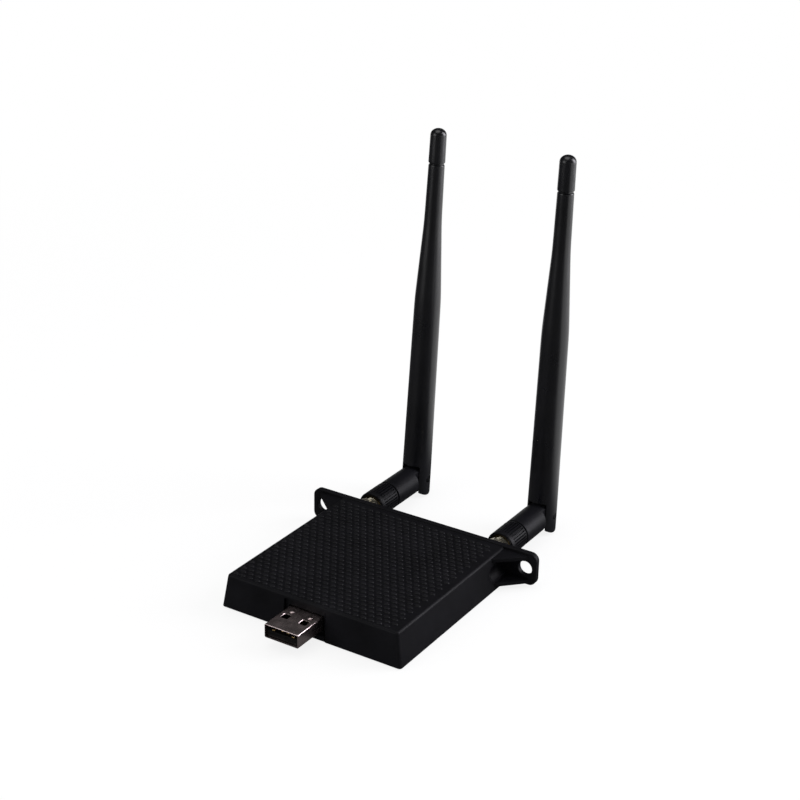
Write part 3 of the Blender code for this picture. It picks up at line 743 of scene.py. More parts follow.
Finish = Plastic | Metal | Laminate


def opened(name: str) -> tuple[bpy.types.Material, Graph, bpy.types.Node, bpy.types.NodeSocket]:
    """Opens a node material.

    Args:
        name: the material's name.

    Returns:
        The material, its graph, its shader, and the output that gives a place on the piece.
    """
    made = bpy.data.materials.new(name)
    made.use_nodes = True
    graph = Graph(made.node_tree)
    shader = made.node_tree.nodes["Principled BSDF"]
    return made, graph, shader, graph.add("ShaderNodeTexCoord").outputs["Object"]


def group(graph: Graph, tree: bpy.types.NodeTree, feeds: dict) -> bpy.types.bpy_prop_collection:
    """Places a shared effect in a material.

    Args:
        graph: the material's graph.
        tree: the effect's group.
        feeds: its inputs by name.

    Returns:
        Its outputs.
    """
    return graph.add("ShaderNodeGroup", {"node_tree": tree}, feeds).outputs


def coat(
    graph: Graph,
    shader: bpy.types.Node,
    layers: Sequence[bpy.types.NodeSocket],
    relief: float,
    strength: float,
) -> None:
    """Leads what makes up a finish to its shader.

    Args:
        graph: the material's graph.
        shader: the shader.
        layers: the outputs for colour, roughness and height.
        relief: how far the height reaches, in metres.
        strength: how strongly it is felt.
    """
    colour, rough, height = layers
    feeds = {"Height": height, "Strength": strength, "Distance": relief}
    bump = graph.add("ShaderNodeBump", {}, feeds).outputs[0]
    for name, output in (("Base Color", colour), ("Roughness", rough), ("Normal", bump)):
        graph.tree.links.new(output, shader.inputs[name])


@cache
def material(finish: Finish) -> bpy.types.Material:
    """The material of a finish, made once."""
    return finish.build()


CASE_PLASTIC = Plastic("case_resin", (0.0042, 0.0041, 0.0054), 0.50, 0.11, 7000.0, 0.00003, 0.005)
# The pebbles' resin is lighter than the case's: painted light on the pebbles against the top around them.
PEBBLE_PLASTIC_PAINTED_LIGHT = Plastic("pebbled_resin", (0.0056, 0.0055, 0.0069), 0.44, 0.15, 9000.0, 0.00002, 0.005)
ANTENNA_PLASTIC = Plastic("antenna_resin", (0.0024, 0.0025, 0.0040), 0.30, 0.64, 9000.0, 0.00002, 0.005)
GRIP_PLASTIC = Plastic("grip_resin", (0.0046, 0.0046, 0.0060), 0.42, 0.10, 8000.0, 0.00002, 0.005)
TONGUE_PLASTIC = Plastic("tongue_resin", (0.0030, 0.0030, 0.0030), 0.45, 0.18, 9000.0, 0.00001, 0.0)
PALE_PLASTIC = Plastic("pale_insulator", (0.82, 0.80, 0.74), 0.4, 0.5, 9000.0, 0.00001, 0.0)
CHIP_RESIN = Plastic("chip_resin", (0.018, 0.018, 0.018), 0.6, 0.4, 12000.0, 0.00001, 0.0)
LEAD_JACKET = Plastic("lead_jacket", (0.12, 0.12, 0.13), 0.4, 0.5, 5000.0, 0.00001, 0.0)

# How dense the lines are that a metal's making leaves: cells in a metre along X, Y and Z.
ROLLED = (5000, 260, 5000)
STAMPED = (5000, 300, 5000)
TURNED = (400, 6000, 400)
TUMBLED = (4000, 4000, 4000)

PLUG_STEEL = Metal("plug_steel", (0.76, 0.65, 0.64), (0.60, 0.49, 0.49), 0.26, ROLLED, 0.000008)
CAN_STEEL = Metal("can_steel", (0.70, 0.70, 0.68), (0.56, 0.56, 0.55), 0.30, STAMPED, 0.000008)
PLATED_BRASS = Metal("plated_brass", (0.93, 0.88, 0.74), (0.84, 0.77, 0.60), 0.20, TURNED, 0.000006)
# The nut inserts' brass is painted near black: painted shade inside the nut's collar.
SHADE_DARKENED_BRASS = Metal("dull_brass", (0.055, 0.044, 0.026), (0.035, 0.027, 0.014), 0.42, TURNED, 0.000006)
# Gold darkened well below its own colour: painted shade where the contacts sit in the plug's mouth.
GOLD_DARKENED_FOR_SHADE = Metal("gold_contact", (0.48, 0.35, 0.17), (0.40, 0.28, 0.12), 0.28, STAMPED, 0.000004)
SCREW_STEEL = Metal("screw_steel", (0.11, 0.11, 0.12), (0.06, 0.06, 0.065), 0.34, TUMBLED, 0.000006)
PIN_STEEL = Metal("pin_steel", (0.016, 0.016, 0.018), (0.010, 0.010, 0.011), 0.42, TUMBLED, 0.000006)

BOARD_LAMINATE = Laminate("board_lacquer", (0.010, 0.085, 0.030), (0.035, 0.16, 0.055))


def publish(
    name: str,
    shape: BMesh,
    finish: Finish,
    slot: str,
    stands_for: Iterable[str] = (),
    body: str = Body.HOUSING.of(),
    crease: float = 34.0,
) -> None:
    """slot: the record's slot that the finish belongs to; not used.
        stands_for: the solids that it stands for.
        body: the body that it rides on.
        crease: the angle in degrees past which an edge stays sharp.
    """
    mesh = bpy.data.meshes.new(name)
    shape.to_mesh(mesh)
    shape.free()
    mesh.shade_smooth()
    mesh.set_sharp_from_angle(angle=math.radians(crease))
    mesh.materials.append(material(finish))
    piece = bpy.data.objects.new(name, mesh)
    bpy.context.scene.collection.objects.link(piece)
    weigh = piece.modifiers.new("even_shading", "WEIGHTED_NORMAL")
    weigh.keep_sharp = True
    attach(piece, body)
    if stands_for:
        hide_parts(*stands_for)
    log.info("%s on %s: %d faces", name, body, len(mesh.polygons))


def both(name: str) -> list[str]:
    """A name on the left and on the right, as the nodes spell it."""
    return [f"{name}_{side.word}" for side in Side]


def publish_pair(
    name: str,
    pattern: BMesh,
    finish: Finish,
    slot: str,
    node: str,
    home: Body,
    place: Callable[[Side], Point],
) -> None:
    """Makes a finished piece on each side from one pattern.

    Args:
        name: the pieces' name, before the side's word.
        pattern: their shape at the origin, which is used up.
        finish: their finish.
        slot: the record's slot that the finish belongs to.
        node: the name of the solids that they stand for, before the side's word.
        home: the body that they ride on.
        place: gives the place of the piece on a side.
    """
    for side in Side:
        shape = shifted(pattern.copy(), place(side))
        publish(f"{name}_{side.word}", shape, finish, slot, [f"{node}_{side.word}"], home.of(side))
    pattern.free()


def dress(frame: dict, finish: Finish, *nodes: str) -> None:
    """Gives a finish to solids that stay as they are.

    Args:
        frame: the loaded frame.
        finish: the finish.
        nodes: the names of the solids.
    """
    for node in nodes:
        for slot in frame["nodes"][node].material_slots:
            slot.material = material(finish)
        log.info("%s keeps its solid, in %s", node, finish.name)


def flared_hole(radius: float, lip: float, start: float, end: float) -> BMesh:
    """Makes the shape of a hole along Y whose lips open out at a slant.

    Args:
        radius: the hole's radius.
        lip: how far its lips reach in from the faces.
        start: where the first face stands.
        end: where the last face stands.

    Returns:
        The shape to cut away.
    """
    wide, past = radius + lip + PAST / 2, PAST / 2
    profile = [(0, start - past), (wide, start - past), (radius, start + lip), (radius, end - lip)]
    return lathe(profile + [(wide, end + past), (0, end + past)], Axis.Y, 64)


@dataclass(frozen=True)
class Layout:
    """Sizes and places that the sub-assemblies share."""

    width: float = 0.0640
    depth: float = 0.0646
    height: float = 0.0112
    side_draft: float = 0.00175
    front_draft: float = 0.0008
    side_wall: float = 0.0016
    front_wall: float = 0.0030
    rear_wall: float = 0.0020
    base: float = 0.0018
    plug_x: float = -0.0017
    plug_half: float = 0.0060
    plug_bottom: float = 0.00305
    plug_height: float = 0.0045
    pocket_margin: float = 0.0015
    pocket_depth: float = 0.0015
    screw_x: float = 0.0270
    screw_front: float = 0.0056
    screw_rear: float = 0.0176
    screw_hole: float = 0.0011
    jack_x: float = 0.0244
    axis_height: float = 0.0060
    jack_radius: float = 0.00315
    hinge_reach: float = 0.0346

    @property
    def front(self) -> float:
        """Where the front face meets the underside."""
        return -self.depth / 2

    @property
    def rear(self) -> float:
        """Where the rear face stands."""
        return self.depth / 2

    def half_width(self, z: float) -> float:
        """Half the width of the drafted case at a height."""
        return self.width / 2 - self.side_draft * z / self.height

    def front_face(self, z: float) -> float:
        """Where the drafted front face stands at a height."""
        return self.front + self.front_draft * z / self.height

    def drafted(self, bottom: float, top: float, inset: tuple[float, float], rear: float) -> BMesh:
        """Makes a block whose walls run parallel to the drafted walls.

        Args:
            bottom: its lowest level.
            top: its highest level.
            inset: how far its sides and its front stand in from the walls.
            rear: where it ends at the rear.

        Returns:
            The block.
        """
        x = self.half_width(bottom) - inset[0]
        y = self.front_face(bottom) + inset[1]
        shape = bar((-x, y, bottom), (x, rear, top))
        lean = (self.half_width(bottom) - self.half_width(top)) / x
        upper = [vertex for vertex in shape.verts if vertex.co.z > (bottom + top) / 2]
        bmesh.ops.scale(shape, vec=(1 - lean, 1, 1), verts=upper)
        push = self.front_face(top) - self.front_face(bottom)
        fronts = [vertex for vertex in upper if vertex.co.y < (y + rear) / 2]
        bmesh.ops.translate(shape, vec=(0, push, 0), verts=fronts)
        return shape

    def screw_places(self) -> list[Vector]:
        """Where the case screws stand, in the order of their numbers."""
        rows = (self.front + self.screw_front, self.rear - self.screw_rear)
        return [Vector((side.value * self.screw_x, y, 0)) for y in rows for side in Side]

    def jack_place(self, side: Side) -> Vector:
        """Where a jack's axis leaves the rear face."""
        return Vector((side.value * self.jack_x, self.rear, self.axis_height))

    def hinge_place(self, side: Side) -> Vector:
        """The middle of an antenna's hinge."""
        return self.jack_place(side) + Vector((0, self.hinge_reach, 0))


@dataclass
class CaseCover:
    """The moulded upper shell with its two ears, and the pebbles on its top."""

    layout: Layout
    corner: float = 0.0010
    top_edge: float = 0.0008
    foot_edge: float = 0.0002
    top_wall: float = 0.0010
    ear_reach: float = 0.0098
    ear_thickness: float = 0.0019
    ear_bottom: float = 0.0006
    ear_top: float = 0.0115
    ear_corner: float = 0.0025
    ear_edge: float = 0.0002
    hole_setback: float = 0.0040
    hole_radius: float = 0.0024
    hole_lip: float = 0.0002
    web_thickness: float = 0.0013
    web_length: float = 0.0081
    web_drop: float = 0.0006
    web_margin: float = 0.0022
    scoop_radius: float = 0.0034
    scoop_depth: float = 0.0010
    scoop_length: float = 0.0080
    boss_radius: float = 0.0022
    pilot_depth: float = 0.0064
    pebble_size: tuple[float, float, float] = (0.00225, 0.00150, 0.00026)
    pebble_pitch: tuple[float, float] = (0.00270, 0.00205)
    pebble_margin: float = 0.0009
    pebble_steps: tuple[tuple[float, float], ...] = ((1.2, 0.94), (0.5, 0.84), (0.2, 0.66))
    pebble_sink: float = 0.8
    pebble_crease: float = 60.0
    scoop_gap: float = 0.00001
    pocket_roof: float = 0.0100
    pocket_corner: float = 0.0005
    slot_corner: float = 0.0004

    def build(self) -> None:
        """Makes the cover and its pebbles, whose lighter resin is painted light on their tops."""
        publish("cover_upper", self.shell(), CASE_PLASTIC, "case_plastic", ["top_cover"])
        crease = self.pebble_crease
        publish("cover_pebbles", self.pebbles(), PEBBLE_PLASTIC_PAINTED_LIGHT, "case_plastic", crease=crease)

    def shell(self) -> BMesh:
        """Makes the cover with its ears, bosses and openings.

        Returns:
            The cover.
        """
        plan = self.layout
        cavity_top = plan.height - self.top_wall
        skin = plan.drafted(0, plan.height, (0, 0), plan.rear - self.ear_thickness / 4)
        rounded(skin, running(skin, Axis.Z), self.corner, 6)
        rounded(skin, level_edges(skin, Axis.Z, plan.height), self.top_edge, 6)
        rounded(skin, level_edges(skin, Axis.Z, 0), self.foot_edge, 2)
        work = Workpiece(skin).apply(Cut.JOIN, self.rear_plate())
        for side in Side:
            work.apply(Cut.JOIN, *self.webs(side))
            work.apply(Cut.AWAY, self.scoop(side), self.ear_hole(side))
            hole = rod(plan.jack_radius + SNUG, -plan.rear_wall - PAST, PAST, Axis.Y)
            work.apply(Cut.AWAY, shifted(hole, plan.jack_place(side)))
        walls = (plan.side_wall, plan.front_wall)
        work.apply(Cut.AWAY, plan.drafted(-PAST, cavity_top, walls, plan.rear - plan.rear_wall))
        for place in plan.screw_places():
            boss = rod(self.boss_radius, plan.base + LOOSE, cavity_top + self.top_wall / 2, Axis.Z, 32)
            pilot = rod(plan.screw_hole, 0, self.pilot_depth, Axis.Z, 32)
            work.apply(Cut.JOIN, shifted(boss, place))
            work.apply(Cut.AWAY, shifted(pilot, place))
        work.apply(Cut.AWAY, *self.plug_openings())
        return work.done()

    def rear_plate(self) -> BMesh:
        """Makes the plate across the rear that reaches out into the two ears.

        Returns:
            The plate with rounded corners and softened rims.
        """
        plan = self.layout
        x = plan.width / 2 + self.ear_reach
        face = plan.rear - self.ear_thickness
        plate = bar((-x, face, self.ear_bottom), (x, plan.rear, self.ear_top))
        rounded(plate, running(plate, Axis.Y), self.ear_corner, 10)
        rims = level_edges(plate, Axis.Y, face) + level_edges(plate, Axis.Y, plan.rear)
        return rounded(plate, rims, self.ear_edge, 3)

    def webs(self, side: Side) -> list[BMesh]:
        """Makes the two three-cornered webs that stiffen an ear.

        Args:
            side: the ear's side.

        Returns:
            The upper and the lower web.
        """
        plan = self.layout
        upper = plan.height - self.web_drop - self.web_thickness
        lower = self.ear_bottom + self.web_drop
        face = plan.rear - self.ear_thickness
        tip = plan.width / 2 + self.ear_reach - self.web_margin
        made = []
        for bottom in (upper, lower):
            top = bottom + self.web_thickness
            root = plan.half_width(top) - plan.side_wall / 2
            front, back = face - self.web_length, face + self.ear_thickness / 2
            wall = plan.half_width(bottom)
            corners = ((root, front), (wall, front), (tip, face), (tip, back), (root, back))
            web = slab([(side.value * x, y, bottom) for x, y in corners], (0, 0, self.web_thickness))
            rims = level_edges(web, Axis.Z, bottom) + level_edges(web, Axis.Z, top)
            made.append(rounded(web, rims, self.ear_edge, 2))
        return made

    def scoop(self, side: Side) -> BMesh:
        """Makes the round-ended hollow in the side wall that clears a screwdriver.

        Args:
            side: the ear's side.

        Returns:
            The shape to cut away.
        """
        plan = self.layout
        x = plan.half_width(plan.axis_height) - self.scoop_depth + self.scoop_radius
        end = plan.rear - self.ear_thickness - self.scoop_gap
        start, radius = end - self.scoop_length, self.scoop_radius
        turns = [math.radians(angle) for angle in range(0, 90, 9)]
        profile = [(radius * math.sin(turn), start - radius * math.cos(turn)) for turn in turns]
        profile += [(radius, start), (radius, end), (0, end)]
        return shifted(lathe(profile, Axis.Y, 48), (side.value * x, 0, plan.axis_height))

    def ear_hole(self, side: Side) -> BMesh:
        """Makes the hole through an ear, with softened lips.

        Args:
            side: the ear's side.

        Returns:
            The shape to cut away.
        """
        plan = self.layout
        face, rear = plan.rear - self.ear_thickness, plan.rear
        cutter = flared_hole(self.hole_radius, self.hole_lip, face, rear)
        x = plan.width / 2 + self.ear_reach - self.hole_setback
        return shifted(cutter, (side.value * x, 0, plan.axis_height))

    def plug_openings(self) -> list[BMesh]:
        """Makes the pocket in the front face and the slot behind it that the plug lies in.

        Returns:
            The shapes to cut away.
        """
        plan = self.layout
        pocket = (plan.front - PAST, plan.front + plan.pocket_depth)
        slot = (plan.front, plan.front + plan.front_wall + plan.front_draft + PAST)
        slot_top = plan.plug_bottom + plan.plug_height + LOOSE
        made = []
        for half, (start, end), top, corner in (
            (plan.plug_half + plan.pocket_margin, pocket, self.pocket_roof, self.pocket_corner),
            (plan.plug_half + LOOSE, slot, slot_top, self.slot_corner),
        ):
            cut = bar((plan.plug_x - half, start, -PAST), (plan.plug_x + half, end, top))
            upper = [edge for edge in running(cut, Axis.Y) if edge.verts[0].co.z > 0]
            made.append(rounded(cut, upper, corner, 4))
        return made

    def pebbles(self) -> BMesh:
        """Makes the rows of low oval pebbles on the top, each row set off by half a step.

        Returns:
            All the pebbles, as separate shells that sink a little into the top.
        """
        plan = self.layout
        long, short, rise = self.pebble_size
        shape = bmesh.new()
        bmesh.ops.create_circle(shape, cap_ends=True, segments=12, radius=0.5)
        bmesh.ops.scale(shape, vec=(long, short, 1), verts=shape.verts[:])
        for lift, shrink in self.pebble_steps:
            crown = max(shape.faces, key=lambda face: face.calc_center_median().z)
            raised = bmesh.ops.extrude_discrete_faces(shape, faces=[crown])["faces"]
            rim = raised[0].verts[:]
            bmesh.ops.translate(shape, vec=(0, 0, lift * rise), verts=rim)
            bmesh.ops.scale(shape, vec=(shrink, shrink, 1), verts=rim)
        bmesh.ops.holes_fill(shape, edges=[edge for edge in shape.edges if edge.is_boundary], sides=0)
        bmesh.ops.recalc_face_normals(shape, faces=shape.faces[:])
        edge = self.top_edge + self.pebble_margin
        reach = plan.half_width(plan.height) - edge
        near, far = plan.front_face(plan.height) + edge, plan.rear - self.ear_thickness - self.pebble_margin
        step_x, step_y = self.pebble_pitch
        shifted(shape, (-reach, near, plan.height - self.pebble_sink * rise))
        columns = int(2 * reach / step_x)
        repeated(shape, columns, (step_x, 0, 0))
        even = shape.copy()
        odd = shifted(shape, (step_x / 2, step_y, 0))
        rows = int((far - near) / step_y) + 1
        repeated(even, (rows + 1) // 2, (0, 2 * step_y, 0))
        repeated(odd, rows // 2, (0, 2 * step_y, 0))
        return gathered(even, odd)


@dataclass
class CaseFloor:
    """The lid under the case, with its sill, posts and screws."""

    layout: Layout
    edge: float = 0.0002
    sill_setback: float = 0.0002
    post_radius: float = 0.0010
    post_top: float = 0.00415
    post_x: float = 0.0200
    post_y: float = -0.0197
    board_front: float = -0.0287
    head_radius: float = 0.00175
    head_height: float = 0.0009
    head_sink: float = 0.0001
    shank_radius: float = 0.00095
    screw_length: float = 0.0060
    thread_pitch: float = 0.0006
    recess_width: float = 0.00045
    recess_depth: float = 0.0006
    recess_share: float = 0.62
    recess_taper: tuple[float, float] = (0.5, 0.8)
    post_edge: float = 0.0003
    head_rim: float = 0.0001
    neck_share: float = 0.8
    neck_length: float = 0.0002
    thread_depth: float = 0.00018
    thread_overlap: float = 0.0001
    tip_share: float = 0.78
    tip_slope: float = 1.2

    def build(self) -> None:
        """Makes the lid and its four screws."""
        publish("cover_lower", self.lid(), CASE_PLASTIC, "case_plastic", ["bottom_cover"])
        pattern = self.screw()
        for number, place in enumerate(self.layout.screw_places(), start=1):
            screw, node = shifted(pattern.copy(), place), f"case_screw_{number}"
            publish(f"cover_screw_{number}", screw, SCREW_STEEL, "screw_steel", [node])

    def lid(self) -> BMesh:
        """Makes the lid that drops in between the walls.

        Returns:
            The lid.
        """
        plan = self.layout
        rear = plan.rear - plan.rear_wall - LOOSE
        plate = plan.drafted(0, plan.base, (plan.side_wall + LOOSE, plan.front_wall + LOOSE), rear)
        rounded(plate, level_edges(plate, Axis.Z, 0), self.edge, 2)
        half, x = plan.plug_half, plan.plug_x
        sill = bar(
            (x - half, plan.front + plan.pocket_depth / 2, 0),
            (x + half, plan.front + plan.front_wall + PAST, plan.base),
        )
        lip = bar(
            (x - half, plan.front + plan.pocket_depth, plan.base / 2),
            (x + half, self.board_front - LOOSE, plan.plug_bottom - LOOSE),
        )
        step = half + plan.pocket_margin - LOOSE
        front = bar(
            (x - step, plan.front + self.sill_setback, 0),
            (x + step, plan.front + plan.pocket_depth - LOOSE, plan.base - SNUG),
        )
        rounded(front, level_edges(front, Axis.Y, plan.front + self.sill_setback), self.edge, 2)
        work = Workpiece(plate).apply(Cut.JOIN, sill, lip, front)
        foot, top, radius = plan.base / 2, self.post_top, self.post_radius
        outline = eased([(0, foot), (radius, foot), (radius, top), (0, top)], self.post_edge)
        for side in Side:
            post = lathe(outline, Axis.Z, 32)
            work.apply(Cut.JOIN, shifted(post, (side.value * self.post_x, self.post_y, 0)))
        for place in plan.screw_places():
            work.apply(Cut.AWAY, shifted(self.countersink(), place))
        return work.done()

    def countersink(self) -> BMesh:
        """Makes the shape of the hole for a screw and its head.

        Returns:
            The shape to cut away.
        """
        shank, head = self.layout.screw_hole, self.head_radius + SNUG
        seat, top = self.head_sink + self.head_height, self.layout.base + PAST
        profile = [(0, -PAST), (head, -PAST), (head, self.head_sink), (shank, seat), (shank, top), (0, top)]
        return lathe(profile, Axis.Z, 48)

    def screw(self) -> BMesh:
        """Makes a countersunk screw with a cross recess and a threaded shank.

        Returns:
            The screw, upright, with its head at the origin.
        """
        low, seat = self.head_sink, self.head_sink + self.head_height
        end, radius = low + self.screw_length, self.shank_radius
        rim, neck = low + self.head_rim, seat + self.neck_length
        head = [(0, low), (self.head_radius, low), (self.head_radius, rim), (radius, seat)]
        head += [(radius * self.neck_share, neck), (0, neck)]
        start, stop = seat - self.thread_overlap, end - radius
        shank = threaded_bar(radius, self.thread_depth, self.thread_pitch, start, stop, 24)
        leaned(shank, 90, Axis.X)
        slope = end - self.tip_slope * radius
        tip = [(0, slope), (radius * self.tip_share, slope), (0, end)]
        work = Workpiece(lathe(head, Axis.Z, 48)).apply(Cut.JOIN, shank, lathe(tip, Axis.Z, 24))
        reach, half = self.head_radius * self.recess_share, self.recess_width / 2
        for turn in (0, 90):
            arm = bar((-reach, -half, -PAST), (reach, half, low + self.recess_depth))
            top = [vertex for vertex in arm.verts if vertex.co.z > 0]
            bmesh.ops.scale(arm, vec=(*self.recess_taper, 1), verts=top)
            work.apply(Cut.AWAY, leaned(arm, turn, Axis.Z))
        return work.done()


def threaded_bar(radius: float, depth: float, pitch: float, start: float, end: float, steps: int) -> BMesh:
    """Makes a round bar along Y with a screw thread round it, cut square at both ends.

    Args:
        radius: the radius over the crests.
        depth: how deep the thread is.
        pitch: the distance from crest to crest.
        start: where the bar begins.
        end: where it ends.
        steps: the number of facets in a turn.

    Returns:
        The closed bar.
    """
    shape = bmesh.new()
    first = start - 2 * pitch
    turns = math.ceil((end - start) / pitch) + 3
    root = radius - depth
    wave = ((root, 0.0), (root, 0.08), (radius, 0.42), (radius, 0.58), (root, 0.92), (root, 1.0))
    points = [shape.verts.new((r, first + share * pitch, 0)) for r, share in wave]
    lines = [shape.edges.new(pair) for pair in zip(points, points[1:])]
    bmesh.ops.spin(
        shape,
        geom=points + lines,
        cent=(0, 0, 0),
        axis=(0, 1, 0),
        dvec=(0, pitch / steps, 0),
        angle=2 * math.pi * turns,
        steps=steps * turns,
        use_merge=False,
    )
    bmesh.ops.remove_doubles(shape, verts=shape.verts[:], dist=10 * WELD)
    for level, way in ((start, -1), (end, 1)):
        geometry = shape.verts[:] + shape.edges[:] + shape.faces[:]
        bmesh.ops.bisect_plane(
            shape,
            geom=geometry,
            dist=WELD / 10,
            plane_co=(0, level, 0),
            plane_no=(0, way, 0),
            clear_outer=True,
        )
    rims = [edge for edge in shape.edges if edge.is_boundary]
    bmesh.ops.holes_fill(shape, edges=rims, sides=0)
    bmesh.ops.recalc_face_normals(shape, faces=shape.faces[:])
    return shape


@dataclass
class UsbPlug:
    """The plug's folded steel shell, its tongue and the contacts on it."""

    layout: Layout
    mouth: float = -0.0435
    length: float = 0.0188
    corner: float = 0.0005
    sheet: float = 0.0003
    rim: float = 0.00018
    lip: float = 0.00014
    window: float = 0.0024
    window_corner: float = 0.00025
    spacing: float = 0.0065
    window_setback: float = 0.0069
    dimple_setback: float = 0.0100
    dimple_radius: float = 0.0009
    dimple_rise: float = 0.00030
    seam: float = 0.00008
    tongue_thickness: float = 0.0019
    tongue_setback: float = 0.0008
    tongue_root: float = 0.0070
    contact_width: float = 0.0010
    contact_thickness: float = 0.0002
    contact_length: float = 0.0075
    contact_places: tuple[float, ...] = (-0.0035, -0.0010, 0.0010, 0.0035)
    inner_setback: float = 0.0010
    corner_share: float = 0.9
    dimple_root: float = 0.00002
    nose_share: float = 0.6

    @property
    def place(self) -> Vector:
        """The middle of the plug's mouth."""
        plan = self.layout
        return Vector((plan.plug_x, self.mouth, plan.plug_bottom + plan.plug_height / 2))

    def build(self) -> None:
        """Makes the shell, the tongue and the contacts."""
        shell, tongue = shifted(self.shell(), self.place), shifted(self.tongue(), self.place)
        publish("plug_shell", shell, PLUG_STEEL, "plug_steel", ["usb_shell"])
        publish("plug_tongue", tongue, TONGUE_PLASTIC, "plug_plastic", ["usb_tongue"])
        # The blades' darkened gold is painted shade in the plug's mouth.
        for number, x in enumerate(self.contact_places, start=1):
            blade, node = shifted(self.contact(x), self.place), f"usb_contact_{number}"
            publish(f"plug_blade_{number}", blade, GOLD_DARKENED_FOR_SHADE, "gold_contact", [node])

    def tube(self, inset: float, start: float, end: float) -> BMesh:
        """Makes a bar of the plug's section.

        Args:
            inset: how far it stands in from the outside.
            start: where it begins behind the mouth.
            end: where it ends.

        Returns:
            The bar with rounded long edges.
        """
        x = self.layout.plug_half - inset
        z = self.layout.plug_height / 2 - inset
        shape = bar((-x, start, -z), (x, end, z))
        return rounded(shape, running(shape, Axis.Y), self.corner - inset * self.corner_share, 6)

    def shell(self) -> BMesh:
        """Makes the folded shell with its windows, dimples and seam.

        Returns:
            The shell round its own axis, with its mouth at the origin.
        """
        outside = self.tube(0, 0, self.length)
        rounded(outside, level_edges(outside, Axis.Y, 0), self.rim, 3)
        work = Workpiece(outside).apply(Cut.AWAY, self.tube(self.sheet, -PAST, self.length + PAST))
        half, tall = self.window / 2, self.layout.plug_height
        for side in Side:
            x = side.value * self.spacing / 2
            window = bar((-half, -half, -tall), (half, half, tall))
            rounded(window, running(window, Axis.Z), self.window_corner, 3)
            work.apply(Cut.AWAY, shifted(window, (x, self.window_setback, 0)))
            for face in (-1, 1):
                lip = shifted(self.window_lip(), (x, self.window_setback, tall / 2))
                work.apply(Cut.AWAY, leaned(lip, 0 if face > 0 else 180, Axis.Y))
            work.apply(Cut.JOIN, shifted(self.dimple(), (x, self.dimple_setback, tall / 2)))
        slit = self.seam / 2
        work.apply(Cut.AWAY, bar((-slit, -PAST, -tall), (slit, self.length + PAST, -tall / 4)))
        return work.done()

    def window_lip(self) -> BMesh:
        """Makes the shape that eases the outer edges of a window.

        Returns:
            The shape to cut away, with the outside of the sheet at the origin.
        """
        half, deep = self.window / 2, self.lip
        lip = bar((-half, -half, -deep), (half, half, deep))
        rounded(lip, running(lip, Axis.Z), self.window_corner, 3)
        grow = (half + 2 * deep) / half
        outer = [vertex for vertex in lip.verts if vertex.co.z > 0]
        bmesh.ops.scale(lip, vec=(grow, grow, 1), verts=outer)
        return lip

    def dimple(self) -> BMesh:
        """Makes a small dome pressed outwards from the sheet.

        Returns:
            The dome, from inside the sheet up.
        """
        rim, foot = self.dimple_radius, -self.sheet / 2
        profile = [(0, foot), (rim, foot), (rim, -self.dimple_root)]
        return lathe(profile + dome(rim, 0, self.dimple_rise, 6), Axis.Z, 32)

    def tongue(self) -> BMesh:
        """Makes the tongue with its raised root.

        Returns:
            The tongue round the plug's axis.
        """
        half = self.layout.plug_height / 2
        floor, roof = self.sheet + SNUG - half, half - self.sheet - SNUG
        deck = floor + self.tongue_thickness
        root, start, end = self.length - self.tongue_root, self.tongue_setback, self.length
        corners = ((start, floor), (end, floor), (end, roof), (root, roof), (root, deck), (start, deck))
        x = self.layout.plug_half - self.sheet - SNUG
        shape = slab([(-x, y, z) for y, z in corners], (2 * x, 0, 0))
        rounded(shape, running(shape, Axis.Y), self.corner / 2, 3)
        return rounded(shape, level_edges(shape, Axis.Y, start), self.rim / 2, 2)

    def contact(self, x: float) -> BMesh:
        """Makes a contact blade with a rounded nose.

        Args:
            x: its place across the tongue.

        Returns:
            The blade.
        """
        inner = abs(x) < max(self.contact_places)
        start = self.tongue_setback + LOOSE + (self.inner_setback if inner else 0.0)
        deck = self.sheet + SNUG - self.layout.plug_height / 2 + self.tongue_thickness
        level, half = deck + SNUG / 2, self.contact_width / 2
        end, top = start + self.contact_length, level + self.contact_thickness
        blade = bar((x - half, start, level), (x + half, end, top))
        nose = self.contact_thickness * self.nose_share
        return rounded(blade, level_edges(blade, Axis.Z, top), nose, 3)


